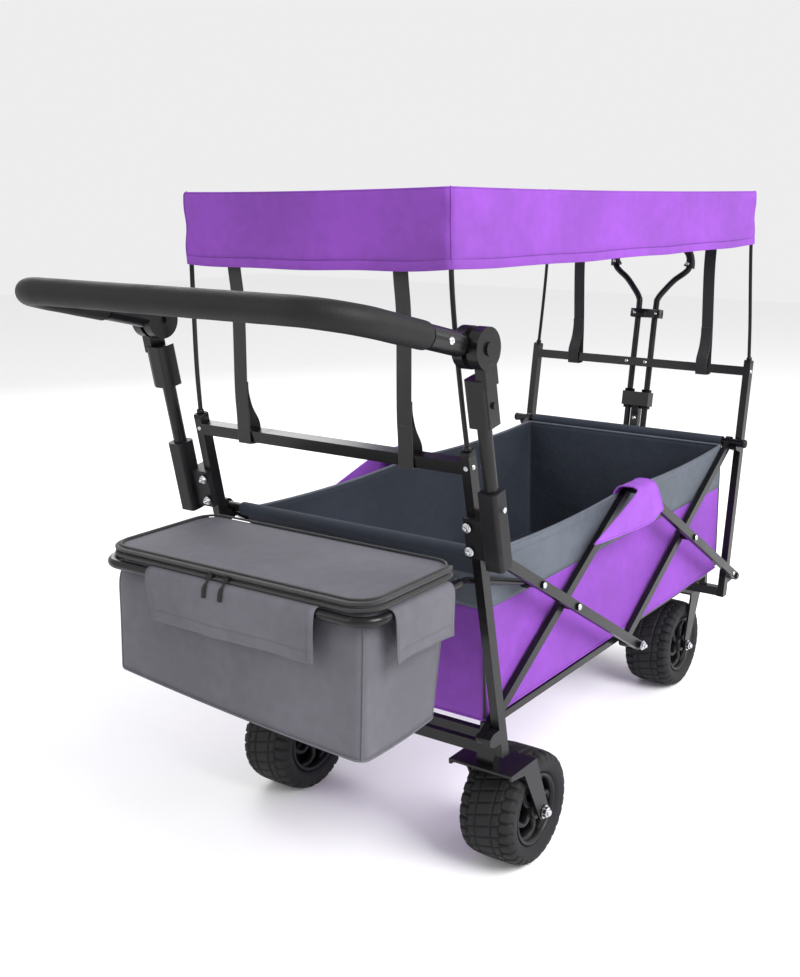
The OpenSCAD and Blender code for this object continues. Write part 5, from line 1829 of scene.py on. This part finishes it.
@dataclass
class Hardware:
    """Zinc rivets and bolts and black caps on the frame."""

    paint: Palette

    def _put(self, name: str, parts: Sequence[Shell], body: str, metal: bool = True, smooth: bool = True) -> bpy.types.Object:
        """Places one set of hardware on a body."""
        obj = place(name, merge(parts), self.paint.zinc if metal else self.paint.plastic, smooth=smooth)
        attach(obj, body)
        return obj

    def _bars(self, side: Side) -> list[bpy.types.Object]:
        """Rivets of one scissor side."""
        s = side.value
        px, lo, hi = LAY.pivot_x, LAY.pivot_low, LAY.pivot_high
        mid = 0.5 * (lo + hi)
        out = np.array([0, s, 0])
        face = LAY.outer_y + LAY.bar_t / 2
        made = []
        tag = side.word
        made.append(self._put(f"rivets_b_{tag}", [rivet((x, s * (face + 3.2), z), out, 5.4, 2.2) for x, z in ((-px / 2, mid),)], f"bar_b_{tag}"))
        basket = (-340.0, lo + (hi - lo) * 340.0 / px)
        made.append(self._put(f"rivets_a_{tag}", [rivet((basket[0], s * (face + 3.0), basket[1]), out, 5.0, 2.2), hex_nut((0.0, s * (face + 5.8), lo), out, 6.6, 5.0, 3.4)], "bars_a", smooth=False))
        made.append(self._put(f"rivets_d_{tag}", [rivet((px / 2, s * (face + 3.0), mid), out, 5.4, 2.2), rivet((px - 16, s * (face + 0.1), lo + 16 * (hi - lo) / px), out, 4.0, 2.0)], f"bar_d_{tag}"))
        return made

    def _caps(self, end: End) -> list[bpy.types.Object]:
        """Domed caps on the cross tube ends and plugs on the post tops."""
        e = end.value
        parts = []
        for s in (-1, 1):
            parts.append(lathe([(0.0, -2.0), (8.6, -2.0), (8.8, 0.8), (7.6, 3.0), (4.2, 4.4), (0.0, 4.8)], (e * LAY.pivot_x, s * 271.0, LAY.pivot_high), (0, s, 0), 28))
        caps = self._put(f"cross_tube_caps_{end.word}", parts, "bars_a" if end is End.REAR else "bars_c", metal=False)
        plugs = []
        for s in (-1, 1):
            top = LAY.on_lean(end, 0.0, s * LAY.post_y, (684.0 - 208.0) / cos(LAY.lean))
            up = LAY.up_post(end)
            line = np.stack([top - up * 1.5, top + up * 3.0, top + up * 4.6])
            plugs.append(sweep(line, slab(15.6, 19.6, 0.3, 20), (1, 0, 0), scale=np.array([1.0, 1.0, 0.86])))
        body = "rear_frame" if end is End.REAR else "front_frame"
        return [caps, self._put(f"post_plugs_{end.word}", plugs, body, metal=False)]

    def _end_rivets(self, end: End) -> list[bpy.types.Object]:
        """Rivets that join the crossbar to the posts, and those in its middle."""
        e = end.value
        along = (LAY.crossbar_z - LAY.post_foot_z) / cos(LAY.lean)
        outv = np.array([e * cos(LAY.lean), 0.0, -sin(LAY.lean)])
        parts = []
        for s in (-1, 1):
            parts.append(rivet(LAY.on_lean(end, 9.0, s * 250.0, along), outv, 3.6, 1.8))
            parts.append(rivet(LAY.on_lean(end, 0.0, s * 257.0, along), (0, s, 0), 3.6, 1.8))
            parts.append(rivet(LAY.on_lean(end, 9.0, s * 250.0, 26.0), outv, 3.6, 1.8))
        if end is End.FRONT:
            for s in (-1, 1):
                for d in (-1, 1):
                    parts.append(rivet(LAY.on_lean(end, d * 9.0, s * 22.0, along), outv * d, 4.0, 2.2))
        body = "rear_frame" if end is End.REAR else "front_frame"
        return [self._put(f"crossbar_rivets_{end.word}", parts, body)]

    def _push(self) -> list[bpy.types.Object]:
        """Rivets, clamp bolts and joint bolts of the push bar."""
        foam = PushFoam(self.paint)
        made = []
        for side in Side:
            s = side.value
            y = s * 292.0
            frame_parts, tube_parts, bar_parts = [], [], []
            outv = np.array([0.0, s, 0.0])
            for z in (20.0, 56.0):
                along = (531.0 - 208.0) / cos(LAY.lean) + z
                frame_parts.append(hex_nut(LAY.on_lean(End.REAR, 22.0, s * 250.0, along), (-cos(LAY.lean), 0, -sin(LAY.lean)), 5.6, 3.6, 3.0))
                frame_parts.append(rivet(LAY.on_lean(End.REAR, 0.0, s * 284.2, along), outv, 4.4, 2.2))
            joint_along = (835.0 - 208.0 + 15 * sin(LAY.lean)) / cos(LAY.lean)
            tube_parts.append(rivet(LAY.on_lean(End.REAR, 15.0, s * 308.2, joint_along - 76.0), outv, 5.0, 2.4))
            tube_parts.append(rivet(LAY.on_lean(End.REAR, 15.0, s * 312.4, joint_along), outv, 5.8, 2.6))
            local = np.array([-66.0, s * 300.2, 0.0])
            bar_parts.append(rivet(foam.world(local), outv, 5.0, 2.4))
            made.append(self._put(f"clamp_bolts_{side.word}", frame_parts, "rear_frame"))
            made.append(self._put(f"joint_rivets_{side.word}", tube_parts, "push_tubes"))
            made.append(self._put(f"socket_rivets_{side.word}", bar_parts, "push_bar"))
        return made

    def build(self) -> list[bpy.types.Object]:
        """Makes all of it."""
        made = []
        for side in Side:
            made += self._bars(side)
        for end in End:
            made += self._caps(end)
            made += self._end_rivets(end)
        return made + self._push()


# --------------------------------------------------------------------------
# Carried-over frame pieces, floor, light and camera
# --------------------------------------------------------------------------


def dress_frame(paint: Palette) -> None:
    """Gives every CAD piece that stays in view its finish."""
    plastic = ("sleeve_right", "sleeve_left")
    metal = ("snap_right", "snap_left")
    for name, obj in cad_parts.items():
        material = paint.plastic if name in plastic else paint.zinc if name in metal else paint.enamel
        if name.startswith(("rim", "tyre")):
            material = paint.rim
        obj.data.materials.clear()
        obj.data.materials.append(material)


@dataclass(frozen=True)
class Studio:
    """Pale floor, soft lights and the camera."""

    eye: tuple[float, float, float] = (SHIFT_X - 1813.3, -1126.5, 1034.8)
    yaw: float = 0.5631
    pitch: float = 0.2305
    roll: float = 0.0042
    lens: float = 44.157
    shift: tuple[float, float] = (-0.10577, -0.02246)
    paper: tuple[float, float, float, float] = (0.93, 0.93, 0.94, 1.0)

    def floor(self) -> bpy.types.Object:
        """Matt pale floor."""
        mesh = bpy.data.meshes.new("studio_floor")
        half = 9.0
        mesh.from_pydata([(-half, -half, 0), (half, -half, 0), (half, half, 0), (-half, half, 0)], [], [(0, 1, 2, 3)])
        obj = bpy.data.objects.new("studio_floor", mesh)
        bpy.context.scene.collection.objects.link(obj)
        mat = bpy.data.materials.new("pale floor")
        mat.use_nodes = True
        bsdf = mat.node_tree.nodes["Principled BSDF"]
        bsdf.inputs["Base Color"].default_value = self.paper
        bsdf.inputs["Roughness"].default_value = 0.9
        bsdf.inputs["Specular IOR Level"].default_value = 0.1
        mesh.materials.append(mat)
        return obj

    def _area(self, name: str, place_at: Sequence[float], aim: Sequence[float], size: float, power: float) -> None:
        """A square soft light."""
        light = bpy.data.lights.new(name, "AREA")
        light.shape = "RECTANGLE"
        light.size = light.size_y = size
        light.energy = power
        obj = bpy.data.objects.new(name, light)
        obj.location = Vector(place_at)
        obj.rotation_euler = (Vector(aim) - Vector(place_at)).to_track_quat("-Z", "Y").to_euler()
        bpy.context.scene.collection.objects.link(obj)

    def lights(self) -> None:
        """World glow and four soft boxes."""
        world = bpy.data.worlds.new("studio")
        world.use_nodes = True
        world.node_tree.nodes["Background"].inputs[0].default_value = (1.0, 1.0, 1.0, 1.0)
        world.node_tree.nodes["Background"].inputs[1].default_value = 0.85
        bpy.context.scene.world = world
        self._area("key", (-0.7, -3.3, 3.0), (0.0, 0.0, 0.5), 2.2, 210.0)
        self._area("fill", (2.6, -2.8, 2.2), (0.1, 0.0, 0.5), 2.2, 40.0)
        self._area("back", (1.6, 3.0, 2.6), (0.0, 0.0, 0.6), 2.2, 60.0)
        self._area("left", (-3.0, 1.6, 2.0), (0.0, 0.0, 0.6), 1.8, 18.0)

    def camera(self) -> None:
        """Camera at the viewing angle, its pose from yaw, pitch and roll."""
        cp, sp, cy, sy = cos(self.pitch), sin(self.pitch), cos(self.yaw), sin(self.yaw)
        ahead = Vector((cp * cy, cp * sy, -sp))
        right = Vector((sy, -cy, 0.0))
        up = right.cross(ahead)
        cr, sr = cos(self.roll), sin(self.roll)
        r2 = right * cr + up * sr
        u2 = up * cr - right * sr
        data = bpy.data.cameras.new("camera")
        data.sensor_width = 36.0
        data.sensor_fit = "AUTO"
        data.lens = self.lens
        data.shift_x, data.shift_y = self.shift
        data.clip_end = 60.0
        cam = bpy.data.objects.new("camera", data)
        cam.matrix_world = Matrix((
            (r2.x, u2.x, -ahead.x, self.eye[0] * MM),
            (r2.y, u2.y, -ahead.y, self.eye[1] * MM),
            (r2.z, u2.z, -ahead.z, self.eye[2] * MM),
            (0.0, 0.0, 0.0, 1.0),
        ))
        bpy.context.scene.collection.objects.link(cam)
        bpy.context.scene.camera = cam

    def build(self) -> None:
        """Sets the stage."""
        bpy.context.scene.view_settings.view_transform = "Standard"
        self.camera()
        self.floor()
        self.lights()


def main() -> None:
    """Builds the wagon piece by piece and reports each one."""
    logging.basicConfig(level=logging.INFO, format="%(name)s: %(message)s")
    Studio().build()
    paint = Palette()
    dress_frame(paint)
    builders = [Canopy(paint)]
    builders += [Strap(paint, end, side) for end in End for side in Side]
    builders += [Rod(paint, end, side) for end in End for side in Side]
    builders += [Tub(paint), Flap(paint, Side.RIGHT), Flap(paint, Side.LEFT), Bag(paint)]
    builders += [Wheel(paint, end, side) for end in End for side in Side]
    builders += [PushFoam(paint), PullHandle(paint), Hardware(paint)]
    for builder in builders:
        for piece in builder.build():
            LOG.info("%s: %d faces", piece.name, len(piece.data.polygons))


if __name__ == "__main__":
    main()
